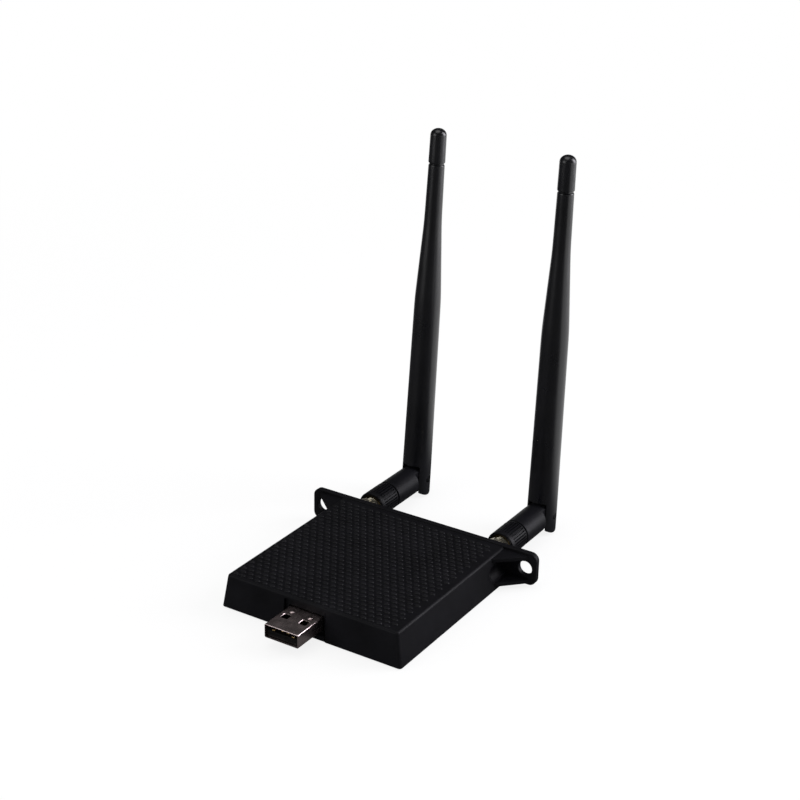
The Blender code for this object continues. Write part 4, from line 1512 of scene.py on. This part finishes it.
@dataclass
class AntennaJack:
    """The coaxial jacks in the rear wall, with the washer and the nut that hold each."""

    layout: Layout
    reach: float = 0.0105
    bore: float = 0.0024
    bore_depth: float = 0.0055
    flange_radius: float = 0.0035
    flange_thickness: float = 0.0020
    tail_radius: float = 0.0019
    tail_length: float = 0.0042
    pitch: float = 0.0007
    thread_depth: float = 0.0003
    washer_radius: float = 0.0046
    washer_thickness: float = 0.0005
    hex_flats: float = 0.0080
    hex_thickness: float = 0.0024
    hex_chamfer: float = 0.0004
    hex_slope: float = 0.6
    hex_skim: float = 0.00002
    hex_lip: float = 0.0002
    washer_edge: float = 0.0001
    thread_overlap: float = 0.0001

    def build(self, frame: dict) -> None:
        """Makes both jacks with their washers and nuts.

        Args:
            frame: the loaded frame.
        """
        home, place = Body.HOUSING, self.layout.jack_place
        for name, pattern, node in (
            ("jack_body", self.body(), "antenna_jack"),
            ("jack_ring", self.washer(), "jack_washer"),
            ("jack_hex", self.hexagon(), "jack_nut"),
        ):
            publish_pair(name, pattern, PLATED_BRASS, "plated_brass", node, home, place)
        dress(frame, PALE_PLASTIC, *both("jack_insulator"))
        # The pins take the same gold, darkened as painted shade.
        dress(frame, GOLD_DARKENED_FOR_SHADE, *both("jack_pin"))

    def body(self) -> BMesh:
        """Makes the threaded barrel with its flange, tail and bore.

        Returns:
            The jack along Y, with the rear face at the origin.
        """
        shoulder = -self.layout.rear_wall - LOOSE
        back = shoulder - self.flange_thickness
        tail, floor = back - self.tail_length, self.reach - self.bore_depth
        radius = self.layout.jack_radius
        start = shoulder - self.thread_overlap
        thread = threaded_bar(radius, self.thread_depth, self.pitch, start, self.reach, 40)
        profile = [(0, tail), (self.tail_radius, tail), (self.tail_radius, back), (self.flange_radius, back)]
        profile += [(self.flange_radius, shoulder), (radius - self.thread_depth, shoulder), (0, shoulder)]
        mouth = [(0, floor), (self.bore, floor), (self.bore, self.reach - SNUG)]
        mouth += [(self.bore + SNUG + PAST / 4, self.reach + PAST / 4), (0, self.reach + PAST / 4)]
        work = Workpiece(thread).apply(Cut.JOIN, lathe(profile, Axis.Y, 64))
        return work.apply(Cut.AWAY, lathe(mouth, Axis.Y, 64)).done()

    def washer(self) -> BMesh:
        """Makes the washer with softened rims.

        Returns:
            The washer.
        """
        inner, outer = self.layout.jack_radius + SNUG, self.washer_radius
        start, end, edge = SNUG, SNUG + self.washer_thickness, self.washer_edge
        profile = [(inner, start), (outer - edge, start), (outer, start + edge), (outer, end - edge)]
        return lathe(profile + [(outer - edge, end), (inner, end)], Axis.Y, 96, closed=True)

    def hexagon(self) -> BMesh:
        """Makes the hexagon nut with its crowned corners.

        Returns:
            The nut.
        """
        start = 2 * SNUG + self.washer_thickness
        end = start + self.hex_thickness
        corner = self.hex_flats / 2 / math.cos(math.pi / 6)
        brow, chamfer = corner - self.hex_chamfer, self.hex_chamfer * self.hex_slope
        wide = corner + self.hex_skim
        crown = [(0, start), (brow, start), (wide, start + chamfer), (wide, end - chamfer)]
        crown += [(brow, end), (0, end)]
        work = Workpiece(rod(corner, start, end, Axis.Y, 6)).apply(Cut.COMMON, lathe(crown, Axis.Y, 96))
        hole = flared_hole(self.layout.jack_radius + SNUG, self.hex_lip, start, end)
        return work.apply(Cut.AWAY, hole).done()


@dataclass
class CouplingNut:
    """The ribbed nuts that screw the antennas onto their jacks."""

    layout: Layout
    radius: float = 0.00475
    start: float = 0.0064
    length: float = 0.0095
    chamfer: float = 0.0003
    collar: float = 0.0016
    ribs: int = 32
    rib_facets: int = 4
    skin_share: float = 0.9
    rib_depth: float = 0.00050
    rib_slope: float = 0.00008
    insert_radius: float = 0.0039
    flange_end: float = 0.0120
    barrel_radius: float = 0.0029

    def build(self, frame: dict) -> None:
        """Makes both ribbed sleeves and dresses their inserts in brass painted near black, as painted shade
        inside the collar.

        Args:
            frame: the loaded frame.
        """
        pattern, home, place = self.sleeve(), Body.NUT, self.layout.jack_place
        publish_pair("nut_sleeve", pattern, GRIP_PLASTIC, "antenna_plastic", "coupling_nut", home, place)
        # The inserts' near-black brass is painted shade within the collar.
        dress(frame, SHADE_DARKENED_BRASS, *both("nut_insert"))

    def sleeve(self) -> BMesh:
        """Makes the sleeve: a plain collar, then straight ribs up to the rear edge.

        Returns:
            The sleeve along Y, with the rear face at the origin.
        """
        start, end, radius = self.start, self.start + self.length, self.radius
        edge, soft = radius - self.chamfer, SOFT * self.chamfer
        ribs_start, ribs_end = start + self.collar, end - 2 * self.chamfer
        profile = [
            (0, start),
            (edge, start),
            (radius - soft, start + soft),
            (radius, start + self.chamfer),
            (radius, ribs_start),
            (radius, ribs_end),
            (radius, end - self.chamfer),
            (radius - soft, end - soft),
            (edge, end),
            (0, end),
        ]
        shape = lathe(profile, Axis.Y, self.ribs * self.rib_facets)
        valleys = [face for face in shape.faces if self.in_valley(face, ribs_start, ribs_end)]
        slope, depth = self.rib_slope, -self.rib_depth
        bmesh.ops.inset_region(
            shape, faces=valleys, thickness=slope, depth=depth, use_even_offset=True, use_boundary=True
        )
        work = Workpiece(shape)
        room = rod(self.insert_radius + SNUG, start - PAST, self.flange_end + LOOSE, Axis.Y)
        work.apply(Cut.AWAY, room)
        work.apply(Cut.AWAY, rod(self.barrel_radius + SNUG, self.flange_end, end + PAST, Axis.Y))
        return work.done()

    def in_valley(self, face: BMFace, start: float, end: float) -> bool:
        """Tells whether a face of the turned sleeve lies where a valley between ribs goes.

        Args:
            face: the face.
            start: where the ribs begin.
            end: where they end.

        Returns:
            Whether it does.
        """
        middle = face.calc_center_median()
        out = Vector((middle.x, middle.z)).length
        if not start < middle.y < end or out < self.radius * self.skin_share:
            return False
        turn = math.atan2(middle.z, middle.x) % (2 * math.pi)
        facet = int(turn / (2 * math.pi) * self.ribs * self.rib_facets)
        return facet % self.rib_facets < self.rib_facets / 2


def round_ended(
    radius: float, side: float, middle: Point, far: Point, half: float, steps: int = 48
) -> BMesh:
    """Makes a bar across a hinge, round about the hinge's axis and open-ended on the other side.

    Args:
        radius: the radius of the round end.
        side: how far the bar's sides stand from its middle line.
        middle: the axis, on Y and Z.
        far: where the bar ends, on Y and Z.
        half: its reach along X.
        steps: the number of pieces in the round end.

    Returns:
        The bar.
    """
    middle, far = Vector(middle), Vector(far)
    run = (far - middle).normalized()
    across = Vector((-run.y, run.x))
    outline = [middle - across * side, far - across * side, far + across * side, middle + across * side]
    for step in range(steps + 1):
        angle = math.pi * step / steps
        outline.append(middle + radius * (across * math.cos(angle) - run * math.sin(angle)))
    return slab([(-half, y, z) for y, z in outline], (2 * half, 0, 0))


@dataclass
class AntennaNeck:
    """The necks behind the nuts, whose flat tongues stand in the antennas' forks."""

    layout: Layout
    radius: float = 0.0047
    start: float = 0.0165
    ring_length: float = 0.0005
    ring_depth: float = 0.0006
    shoulder: float = 0.0287
    chamfer: float = 0.0004
    tongue_half: float = 0.0030
    barrel_radius: float = 0.0029
    barrel_end: float = 0.0203
    pin_hole: float = 0.00115

    def build(self, frame: dict) -> None:
        """Makes both necks and dresses the plugs inside them.

        Args:
            frame: the loaded frame.
        """
        pattern, home, place = self.neck(), Body.NECK, self.layout.jack_place
        publish_pair("antenna_neck", pattern, GRIP_PLASTIC, "antenna_plastic", "neck", home, place)
        dress(frame, PLATED_BRASS, *both("antenna_plug"))
        # The contacts take the same gold, darkened as painted shade.
        dress(frame, GOLD_DARKENED_FOR_SHADE, *both("plug_contact"))

    def neck(self) -> BMesh:
        """Makes the neck along Y.

        Returns:
            The neck, with the rear face of the case at the origin.
        """
        hinge = self.layout.hinge_reach
        end, wide = hinge + self.radius + PAST, 2 * self.radius
        ring, foot = self.start - self.ring_length, self.radius - self.ring_depth
        profile = [(0, ring), (foot, ring), (foot, self.start)]
        profile += [(self.radius, self.start), (self.radius, end), (0, end)]
        work = Workpiece(lathe(eased(profile, self.chamfer, 5), Axis.Y, 96))
        work.apply(Cut.COMMON, round_ended(self.radius - SNUG, wide, (hinge, 0), (-PAST, 0), wide))
        for side in Side:
            inner, outer = side.value * self.tongue_half, side.value * wide
            low, high = (min(inner, outer), self.shoulder, -wide), (max(inner, outer), end + wide, wide)
            work.apply(Cut.AWAY, bar(low, high))
        room = rod(self.barrel_radius + SNUG, self.start - PAST, self.barrel_end + LOOSE, Axis.Y)
        work.apply(Cut.AWAY, room)
        work.apply(Cut.AWAY, shifted(rod(self.pin_hole, -wide, wide, Axis.X, 32), (0, hinge, 0)))
        return work.done()


@dataclass
class Antenna:
    """The tapered sheaths with their forks, hinge pins and tip caps."""

    layout: Layout
    leans: tuple[tuple[Side, float], ...] = ((Side.LEFT, 4.0), (Side.RIGHT, 1.8))
    root_radius: float = 0.00493
    stretches: tuple[tuple[float, float], ...] = (
        (0.00440, 0.0620),
        (0.00428, 0.0655),
        (0.00290, 0.0900),
        (0.00265, 0.1085),
    )
    end: float = 0.1089
    chamfer: float = 0.0004
    bore: float = 0.0015
    bore_floor: float = 0.0090
    fork_reach: float = 0.0056
    slot_half: float = 0.0033
    slot_top: float = 0.0052
    slot_corner: float = 0.0005
    pin_radius: float = 0.0010
    pin_sink: float = 0.00003
    tip_seat: float = 0.1093
    tip_radius: float = 0.00275
    tip_length: float = 0.0113
    tip_taper: float = 0.0001
    tip_dome: float = 0.0022
    groove: float = 0.0004
    spigot: float = 0.00135
    spigot_length: float = 0.0050
    smoothing: float = 0.0035
    cap_gap: float = 0.00005
    pin_dome: tuple[tuple[float, float], ...] = ((0.0, 0.0), (0.5, 0.00003), (0.9, 0.0001), (1.0, 0.0002))

    def build(self, frame: dict) -> None:
        """Makes both sheaths with their hinge pins and tip caps.

        Args:
            frame: the loaded frame.
        """
        for name, pattern, finish, slot, node in (
            ("antenna_sheath", self.sheath(), ANTENNA_PLASTIC, "antenna_plastic", "sheath"),
            ("antenna_cap", self.cap(), ANTENNA_PLASTIC, "antenna_plastic", "tip_cap"),
            ("antenna_pin", self.pin(), PIN_STEEL, "screw_steel", "hinge_pin"),
        ):
            for side, lean in self.leans:
                shape = shifted(leaned(pattern.copy(), -lean), self.layout.hinge_place(side))
                body, solid = Body.ANTENNA.of(side), f"{node}_{side.word}"
                publish(f"{name}_{side.word}", shape, finish, slot, [solid], body)
        dress(frame, PLATED_BRASS, *both("dipole"))

    def sheath(self) -> BMesh:
        """Makes the sheath up from the hinge.

        Returns:
            The sheath along Z, with the hinge at the origin.
        """
        foot = -self.fork_reach - PAST
        outside = [(self.root_radius, foot), (self.root_radius, 0), *self.stretches]
        smooth = eased(outside, self.smoothing, 6)
        tip, soft = self.stretches[-1][0], SOFT * self.chamfer
        top = [(tip - soft, self.end - soft), (tip - self.chamfer, self.end)]
        inside = [(self.bore, self.end), (self.bore, self.bore_floor), (0, self.bore_floor)]
        work = Workpiece(lathe([(0, foot), *smooth, *top, *inside], Axis.Z, 96))
        wide = 2 * self.root_radius
        work.apply(Cut.COMMON, round_ended(self.fork_reach, wide, (0, 0), (0, self.end + PAST), wide))
        slot = bar((-self.slot_half, -wide, -wide), (self.slot_half, wide, self.slot_top))
        upper = [edge for edge in running(slot, Axis.Y) if edge.verts[0].co.z > 0]
        work.apply(Cut.AWAY, rounded(slot, upper, self.slot_corner, 4))
        work.apply(Cut.AWAY, rod(self.pin_radius + SNUG, -wide, wide, Axis.X, 32))
        return work.done()

    def cap(self) -> BMesh:
        """Makes the cap with its spigot, the groove under it and its domed end.

        Returns:
            The cap along Z, with the hinge at the origin.
        """
        seat, end = self.tip_seat, self.tip_seat + self.tip_length
        radius, foot, rest = self.tip_radius, seat - self.spigot_length, self.end + self.cap_gap
        crown = dome(radius - self.tip_taper, end - self.tip_dome, self.tip_dome, 12)
        inner, soft = radius - self.groove, SOFT * self.groove
        profile = [(0, foot), (self.spigot, foot), (self.spigot, rest), (inner, rest), (inner, seat)]
        profile += [(radius - soft, seat + soft), (radius, seat + self.groove)]
        return lathe(profile + crown, Axis.Z, 96)

    def pin(self) -> BMesh:
        """Makes the hinge pin with domed ends.

        Returns:
            The pin along X, with the hinge at the origin.
        """
        half, radius = self.root_radius - self.pin_sink, self.pin_radius
        profile = [(radius * share, -half + along) for share, along in self.pin_dome]
        mirrored = [(r, -along) for r, along in reversed(profile)]
        return lathe(profile + mirrored, Axis.X, 32)


@dataclass
class RadioBoard:
    """The circuit board and what stands on it, inside the case."""

    half_width: float = 0.0240
    front: float = -0.0287
    rear: float = 0.0139
    bottom: float = 0.00195
    thickness: float = 0.0008
    corner: float = 0.0010
    hole_radius: float = 0.0013
    post_place: tuple[float, float] = (0.0200, -0.0197)
    seat: float = 0.0029
    can_place: tuple[float, float] = (0.0060, -0.0074)
    can_size: tuple[float, float, float] = (0.0200, 0.0160, 0.0018)
    can_sheet: float = 0.00025
    can_edge: float = 0.0004
    vent_radius: float = 0.0005
    vent_pitch: float = 0.0032
    notch: float = 0.0012
    chip_size: tuple[float, float, float] = (0.0070, 0.0070, 0.0009)
    pad_size: tuple[float, float, float] = (0.0003, 0.0002, 0.0002)
    pad_pitch: float = 0.0007
    pads: int = 8
    crystal_place: tuple[float, float] = (-0.0120, -0.0074)
    crystal_size: tuple[float, float, float] = (0.0032, 0.0025, 0.0008)
    socket_place: tuple[float, float] = (0.0160, 0.0089)
    socket_base: float = 0.0015
    socket_radius: float = 0.0010
    socket_height: float = 0.00175
    small_size: tuple[float, float, float] = (0.0010, 0.0005, 0.0004)
    small_places: tuple[tuple[float, float], ...] = (
        (-0.0080, -0.0220),
        (-0.0080, -0.0175),
        (0.0060, -0.0185),
        (0.0115, -0.0185),
        (-0.0075, -0.0010),
        (0.0010, 0.0040),
        (0.0090, 0.0040),
    )
    small_row: int = 3
    small_step: float = 2.4
    small_body: tuple[float, float, float] = (0.5, 0.92, 0.92)
    small_end: float = 0.25
    small_end_place: float = 0.39
    mark_place: float = 0.36
    crystal_base: float = 0.5
    crystal_lid: tuple[float, float] = (0.9, 0.87)
    socket_foot: float = 0.2
    socket_well: float = 0.8
    socket_steps: tuple[tuple[float, float], ...] = (
        (1.0, 0.24),
        (1.0, 0.5),
        (0.88, 0.56),
        (0.88, 0.66),
        (1.0, 0.72),
        (1.0, 0.94),
        (0.9, 1.0),
        (0.45, 1.0),
        (0.4, 0.8),
    )

    def build(self, frame: dict) -> None:
        """Makes the board and the parts on it, and dresses the leads.

        Args:
            frame: the loaded frame.
        """
        bodies, ends = self.small_parts()
        for name, shape, finish, slot, nodes in (
            ("board_card", self.card(), BOARD_LAMINATE, "board_laminate", ["main_board"]),
            ("board_can", self.can(), CAN_STEEL, "can_steel", ["shield_can"]),
            ("board_crystal", self.crystal(), CAN_STEEL, "can_steel", ["clock_crystal"]),
            ("board_chip", self.chip(), CHIP_RESIN, "chip_resin", ["radio_chip"]),
            ("board_chip_pads", self.chip_pads(), CAN_STEEL, "can_steel", []),
            ("board_small_bodies", bodies, CHIP_RESIN, "chip_resin", []),
            ("board_small_ends", ends, CAN_STEEL, "can_steel", []),
        ):
            publish(name, shape, finish, slot, nodes)
        pattern, home, spot = self.socket(), Body.HOUSING, self.socket_spot
        publish_pair("board_socket", pattern, PLATED_BRASS, "plated_brass", "lead_socket", home, spot)
        dress(frame, LEAD_JACKET, *both("antenna_lead"))

    def socket_spot(self, side: Side) -> Vector:
        """Where a lead's socket stands on the board."""
        return Vector((side.value * self.socket_place[0], self.socket_place[1], self.seat))

    def standing(self, size: Point, place: Point, inset: float = 0.0) -> BMesh:
        """Makes a block that stands on the board.

        Args:
            size: its width, depth and height.
            place: the middle of its foot.
            inset: how much smaller it is all round, but for its foot.

        Returns:
            The block.
        """
        x, y = size[0] / 2 - inset, size[1] / 2 - inset
        low = (place[0] - x, place[1] - y, self.seat)
        return bar(low, (place[0] + x, place[1] + y, self.seat + size[2] - inset))

    def card(self) -> BMesh:
        """Makes the board with rounded corners and the holes that its posts pass through.

        Returns:
            The board.
        """
        top = self.bottom + self.thickness
        card = bar((-self.half_width, self.front, self.bottom), (self.half_width, self.rear, top))
        work = Workpiece(rounded(card, running(card, Axis.Z), self.corner, 5))
        for side in Side:
            hole = rod(self.hole_radius, self.bottom - PAST, top + PAST, Axis.Z, 32)
            work.apply(Cut.AWAY, shifted(hole, (side.value * self.post_place[0], self.post_place[1], 0)))
        return work.done()

    def can(self) -> BMesh:
        """Makes the drawn shield with its vents and the notches along its foot.

        Returns:
            The shield.
        """
        x, y = self.can_place
        depth, height = self.can_size[1:]
        skin = self.standing(self.can_size, self.can_place)
        rounded(skin, running(skin, Axis.Z), self.can_edge, 4)
        rounded(skin, level_edges(skin, Axis.Z, self.seat + height), self.can_edge, 4)
        hollow = shifted(self.standing(self.can_size, self.can_place, self.can_sheet), (0, 0, -PAST))
        lift = [vertex for vertex in hollow.verts if vertex.co.z > self.seat]
        bmesh.ops.translate(hollow, vec=(0, 0, PAST), verts=lift)
        work = Workpiece(skin).apply(Cut.AWAY, hollow)
        low, high = self.seat + height / 2, self.seat + height + PAST
        for column in range(-2, 3):
            middle = x + column * self.vent_pitch
            for row in range(-1, 2):
                vent = rod(self.vent_radius, low, high, Axis.Z, 16)
                work.apply(Cut.AWAY, shifted(vent, (middle, y + row * self.vent_pitch, 0)))
            foot = (middle - self.notch / 2, y - depth, self.seat - PAST)
            work.apply(Cut.AWAY, bar(foot, (middle + self.notch / 2, y + depth, self.seat + self.notch / 3)))
        return work.done()

    def chip(self) -> BMesh:
        """Makes the chip's body with a chamfered top and the dimple that marks its first pin.

        Returns:
            The body.
        """
        width, depth, height = self.chip_size
        body = self.standing(self.chip_size, self.can_place)
        top = self.seat + height
        rounded(body, running(body, Axis.Z) + level_edges(body, Axis.Z, top), height / 9, 2)
        mark = rod(height / 3, top - height / 12, top + PAST, Axis.Z, 24)
        x, y = self.can_place
        place = (x - width * self.mark_place, y - depth * self.mark_place, 0)
        return Workpiece(body).apply(Cut.AWAY, shifted(mark, place)).done()

    def chip_pads(self) -> BMesh:
        """Makes the soldered pads along the four edges of the chip.

        Returns:
            All the pads, as separate shells.
        """
        wide, deep, tall = self.pad_size
        rows = []
        for turn in range(4):
            pad = bar((-wide / 2, 0, self.seat), (wide / 2, deep, self.seat + tall))
            rounded(pad, level_edges(pad, Axis.Z, self.seat + tall), tall / 4, 2)
            start = -(self.pads - 1) / 2 * self.pad_pitch
            shifted(pad, (start, self.chip_size[1] / 2 + SNUG / 3, 0))
            rows.append(leaned(repeated(pad, self.pads, (self.pad_pitch, 0, 0)), 90 * turn, Axis.Z))
        return shifted(gathered(*rows), (*self.can_place, 0))

    def crystal(self) -> BMesh:
        """Makes the clock crystal: a base and a smaller lid with round corners.

        Returns:
            The crystal.
        """
        width, depth, height = self.crystal_size
        base = self.standing((width, depth, height * self.crystal_base), self.crystal_place)
        rounded(base, running(base, Axis.Z), height / 4, 4)
        lid_width, lid_depth = self.crystal_lid
        lid = self.standing((width * lid_width, depth * lid_depth, height), self.crystal_place)
        rounded(lid, running(lid, Axis.Z), height / 3, 4)
        rounded(lid, level_edges(lid, Axis.Z, self.seat + height), height / 10, 3)
        return Workpiece(base).apply(Cut.JOIN, lid).done()

    def small_parts(self) -> tuple[BMesh, BMesh]:
        """Makes the rows of small parts on the board.

        Returns:
            Their bodies, and the tinned ends on them, as separate shells.
        """
        long, wide, tall = self.small_size
        step = (0, self.small_step * wide, 0)
        block = [whole * share for whole, share in zip(self.small_size, self.small_body)]
        bodies, ends = [], []
        for x, y in self.small_places:
            body = self.standing(block, (x, y))
            bodies.append(repeated(rounded(body, body.edges[:], tall / 12, 2), self.small_row, step))
            for side in Side:
                place = (x + side.value * long * self.small_end_place, y)
                end = self.standing((long * self.small_end, wide, tall), place)
                ends.append(repeated(rounded(end, end.edges[:], tall / 8, 3), self.small_row, step))
        return gathered(*bodies), gathered(*ends)

    def socket(self) -> BMesh:
        """Makes a lead's socket on its round base, with the groove that the lead's plug snaps into.

        Returns:
            The socket, with its foot at the origin.
        """
        base, radius, top = self.socket_base, self.socket_radius, self.socket_height
        profile = [(0, 0), (base, 0), (base, top * self.socket_foot)]
        profile += [(radius * across, top * up) for across, up in self.socket_steps]
        return lathe(profile + [(0, top * self.socket_well)], Axis.Z, 48)


@dataclass(frozen=True)
class Lamp:
    """A soft lamp: where it stands, what it points at, its size, power and colour."""

    name: str
    place: tuple[float, float, float]
    target: tuple[float, float, float]
    size: tuple[float, float]
    power: float
    colour: Colour = (1.0, 1.0, 1.0)

    def build(self) -> None:
        """Hangs the lamp."""
        data = bpy.data.lights.new(self.name, "AREA")
        data.shape = "RECTANGLE"
        data.size, data.size_y = self.size
        data.energy = self.power
        data.color = self.colour
        lamp = bpy.data.objects.new(self.name, data)
        lamp.location = self.place
        lamp.rotation_euler = (Vector(self.target) - Vector(self.place)).to_track_quat("-Z", "Y").to_euler()
        bpy.context.scene.collection.objects.link(lamp)


@dataclass
class Studio:
    """The pale floor, the soft lamps, the backdrop and the camera."""

    eye: tuple[float, float, float] = (0.249545, -0.386953, 0.264674)
    right: tuple[float, float, float] = (0.84527, 0.53394, 0.02007)
    up: tuple[float, float, float] = (-0.22850, 0.32729, 0.91686)
    back: tuple[float, float, float] = (0.48299, -0.77960, 0.39866)
    lens: float = 77.04
    sensor: float = 36.0
    clip: tuple[float, float] = (0.01, 50.0)
    floor_reach: float = 6.0
    floor_drop: float = 0.0003
    floor_tone: float = 0.9
    shadow_span: tuple[float, float] = (0.1, 0.5)
    shadow_share: float = 0.84
    bright_way: tuple[float, float] = (0.35, 0.94)
    bright_span: tuple[float, float] = (0.08, 0.12)
    bright_level: tuple[float, float] = (0.07, 1.0)
    bright_wall: tuple[float, float] = (0.8, 0.6)
    wall_height: tuple[float, float] = (-0.05, 0.2)
    wall_turn: tuple[float, float] = (-0.2, 0.6)
    wall_level: tuple[float, float] = (0.2, 1.0)
    ceiling: float = 0.035
    fill: float = 0.60
    lamps: tuple[Lamp, ...] = (
        Lamp("key", (0.75, 0.55, 0.55), (0, 0.03, 0.03), (0.5, 0.7), 6.3, (0.96, 0.94, 1.0)),
        Lamp("over", (-0.10, -0.02, 1.0), (0, 0, 0), (0.7, 0.7), 2.6),
        Lamp("front", (-0.45, -0.80, 0.35), (0, 0, 0.03), (0.6, 0.6), 2.0),
        Lamp("rim", (0.50, 0.48, 0.16), (0, 0.067, 0.06), (0.3, 0.5), 2.2, (0.94, 0.93, 1.0)),
    )

    def build(self) -> None:
        """Sets up the whole stage."""
        self.camera()
        self.floor()
        self.world()
        for lamp in self.lamps:
            lamp.build()
        bpy.context.scene.view_settings.view_transform = "Standard"

    def camera(self) -> None:
        """Places the camera of the photograph."""
        data = bpy.data.cameras.new("camera")
        data.lens, data.sensor_width = self.lens, self.sensor
        data.clip_start, data.clip_end = self.clip
        camera = bpy.data.objects.new("camera", data)
        turn = Matrix((self.right, self.up, self.back)).transposed()
        camera.matrix_world = Matrix.Translation(self.eye) @ turn.to_4x4()
        bpy.context.scene.collection.objects.link(camera)
        bpy.context.scene.camera = camera

    def floor(self) -> None:
        """Lays the floor: white to the camera but for the shadow, and dim or white in reflections."""
        shape = bmesh.new()
        bmesh.ops.create_circle(shape, cap_ends=True, segments=64, radius=self.floor_reach)
        mesh = bpy.data.meshes.new("floor")
        shifted(shape, (0, 0, -self.floor_drop)).to_mesh(mesh)
        shape.free()
        made = bpy.data.materials.new("pale_floor")
        made.use_nodes = True
        graph = Graph(made.node_tree)
        made.node_tree.nodes.remove(made.node_tree.nodes["Principled BSDF"])
        tone = (*[self.floor_tone] * 3, 1.0)
        matte = graph.add("ShaderNodeBsdfDiffuse", {}, {"Color": tone}).outputs[0]
        spot = graph.add("ShaderNodeTexCoord").outputs["Object"]
        far = graph.add("ShaderNodeVectorMath", {"operation": "LENGTH"}, {"Vector": spot}).outputs["Value"]
        reach = graph.along(spot, self.bright_way)
        mirrored = graph.span(reach, *self.bright_span, *self.bright_level)
        seen = graph.add("ShaderNodeLightPath").outputs["Is Camera Ray"]
        strength = graph.math("MAXIMUM", seen, mirrored)
        white = {"Color": (1, 1, 1, 1), "Strength": strength}
        glow = graph.add("ShaderNodeEmission", {}, white).outputs[0]
        fade = graph.span(far, *self.shadow_span, self.shadow_share, 1.0)
        straight = graph.math("MULTIPLY", seen, fade)
        lit = graph.between(graph.math("MAXIMUM", straight, self.reflected(graph)), matte, glow)
        clear = graph.add("ShaderNodeBsdfTransparent").outputs[0]
        below = graph.add("ShaderNodeNewGeometry").outputs["Backfacing"]
        whole = graph.between(below, lit, clear)
        graph.tree.links.new(whole, graph.tree.nodes["Material Output"].inputs["Surface"])
        mesh.materials.append(made)
        floor = bpy.data.objects.new("floor", mesh)
        bpy.context.scene.collection.objects.link(floor)

    @staticmethod
    def reflected(graph: Graph) -> bpy.types.NodeSocket:
        """Adds the test for rays that a surface reflects or lets through.

        Args:
            graph: the graph that the test goes into.

        Returns:
            1 for such a ray, or else 0.
        """
        path = graph.add("ShaderNodeLightPath").outputs
        return graph.math("MAXIMUM", path["Is Glossy Ray"], path["Is Transmission Ray"])

    def world(self) -> None:
        """Makes the backdrop: white to the camera, a dim studio above the horizon for reflections."""
        world = bpy.data.worlds.new("studio")
        world.use_nodes = True
        bpy.context.scene.world = world
        graph = Graph(world.node_tree)
        path = graph.add("ShaderNodeLightPath").outputs
        way = graph.add("ShaderNodeTexCoord").outputs["Generated"]
        height = graph.add("ShaderNodeSeparateXYZ", {}, {"Vector": way}).outputs["Z"]
        turned = graph.along(way, self.bright_wall)
        low = graph.span(height, *self.wall_height, 1.0, 0.0)
        wall = graph.math("MULTIPLY", low, graph.span(turned, *self.wall_turn, *self.wall_level))
        room = graph.math("MAXIMUM", wall, self.ceiling)
        around = {"Factor_Float": self.reflected(graph), "A_Float": self.fill, "B_Float": room}
        light = graph.add("ShaderNodeMix", {"data_type": "FLOAT"}, around)
        shown = graph.math("MAXIMUM", path["Is Camera Ray"], light.outputs[0])
        ground = world.node_tree.nodes["Background"]
        ground.inputs["Color"].default_value = (1.0, 1.0, 1.0, 1.0)
        world.node_tree.links.new(shown, ground.inputs["Strength"])


def clear() -> None:
    """Removes whatever the file held before."""
    for thing in list(bpy.data.objects):
        bpy.data.objects.remove(thing, do_unlink=True)


def main() -> None:
    """Loads the frame and builds every sub-assembly in order."""
    logging.basicConfig(level=logging.INFO, format="%(name)s: %(message)s", stream=sys.stdout)
    clear()
    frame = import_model()
    Studio().build()
    layout = Layout()
    CaseCover(layout).build()
    CaseFloor(layout).build()
    UsbPlug(layout).build()
    RadioBoard().build(frame)
    AntennaJack(layout).build(frame)
    CouplingNut(layout).build(frame)
    AntennaNeck(layout).build(frame)
    Antenna(layout).build(frame)


if __name__ == "__main__":
    main()
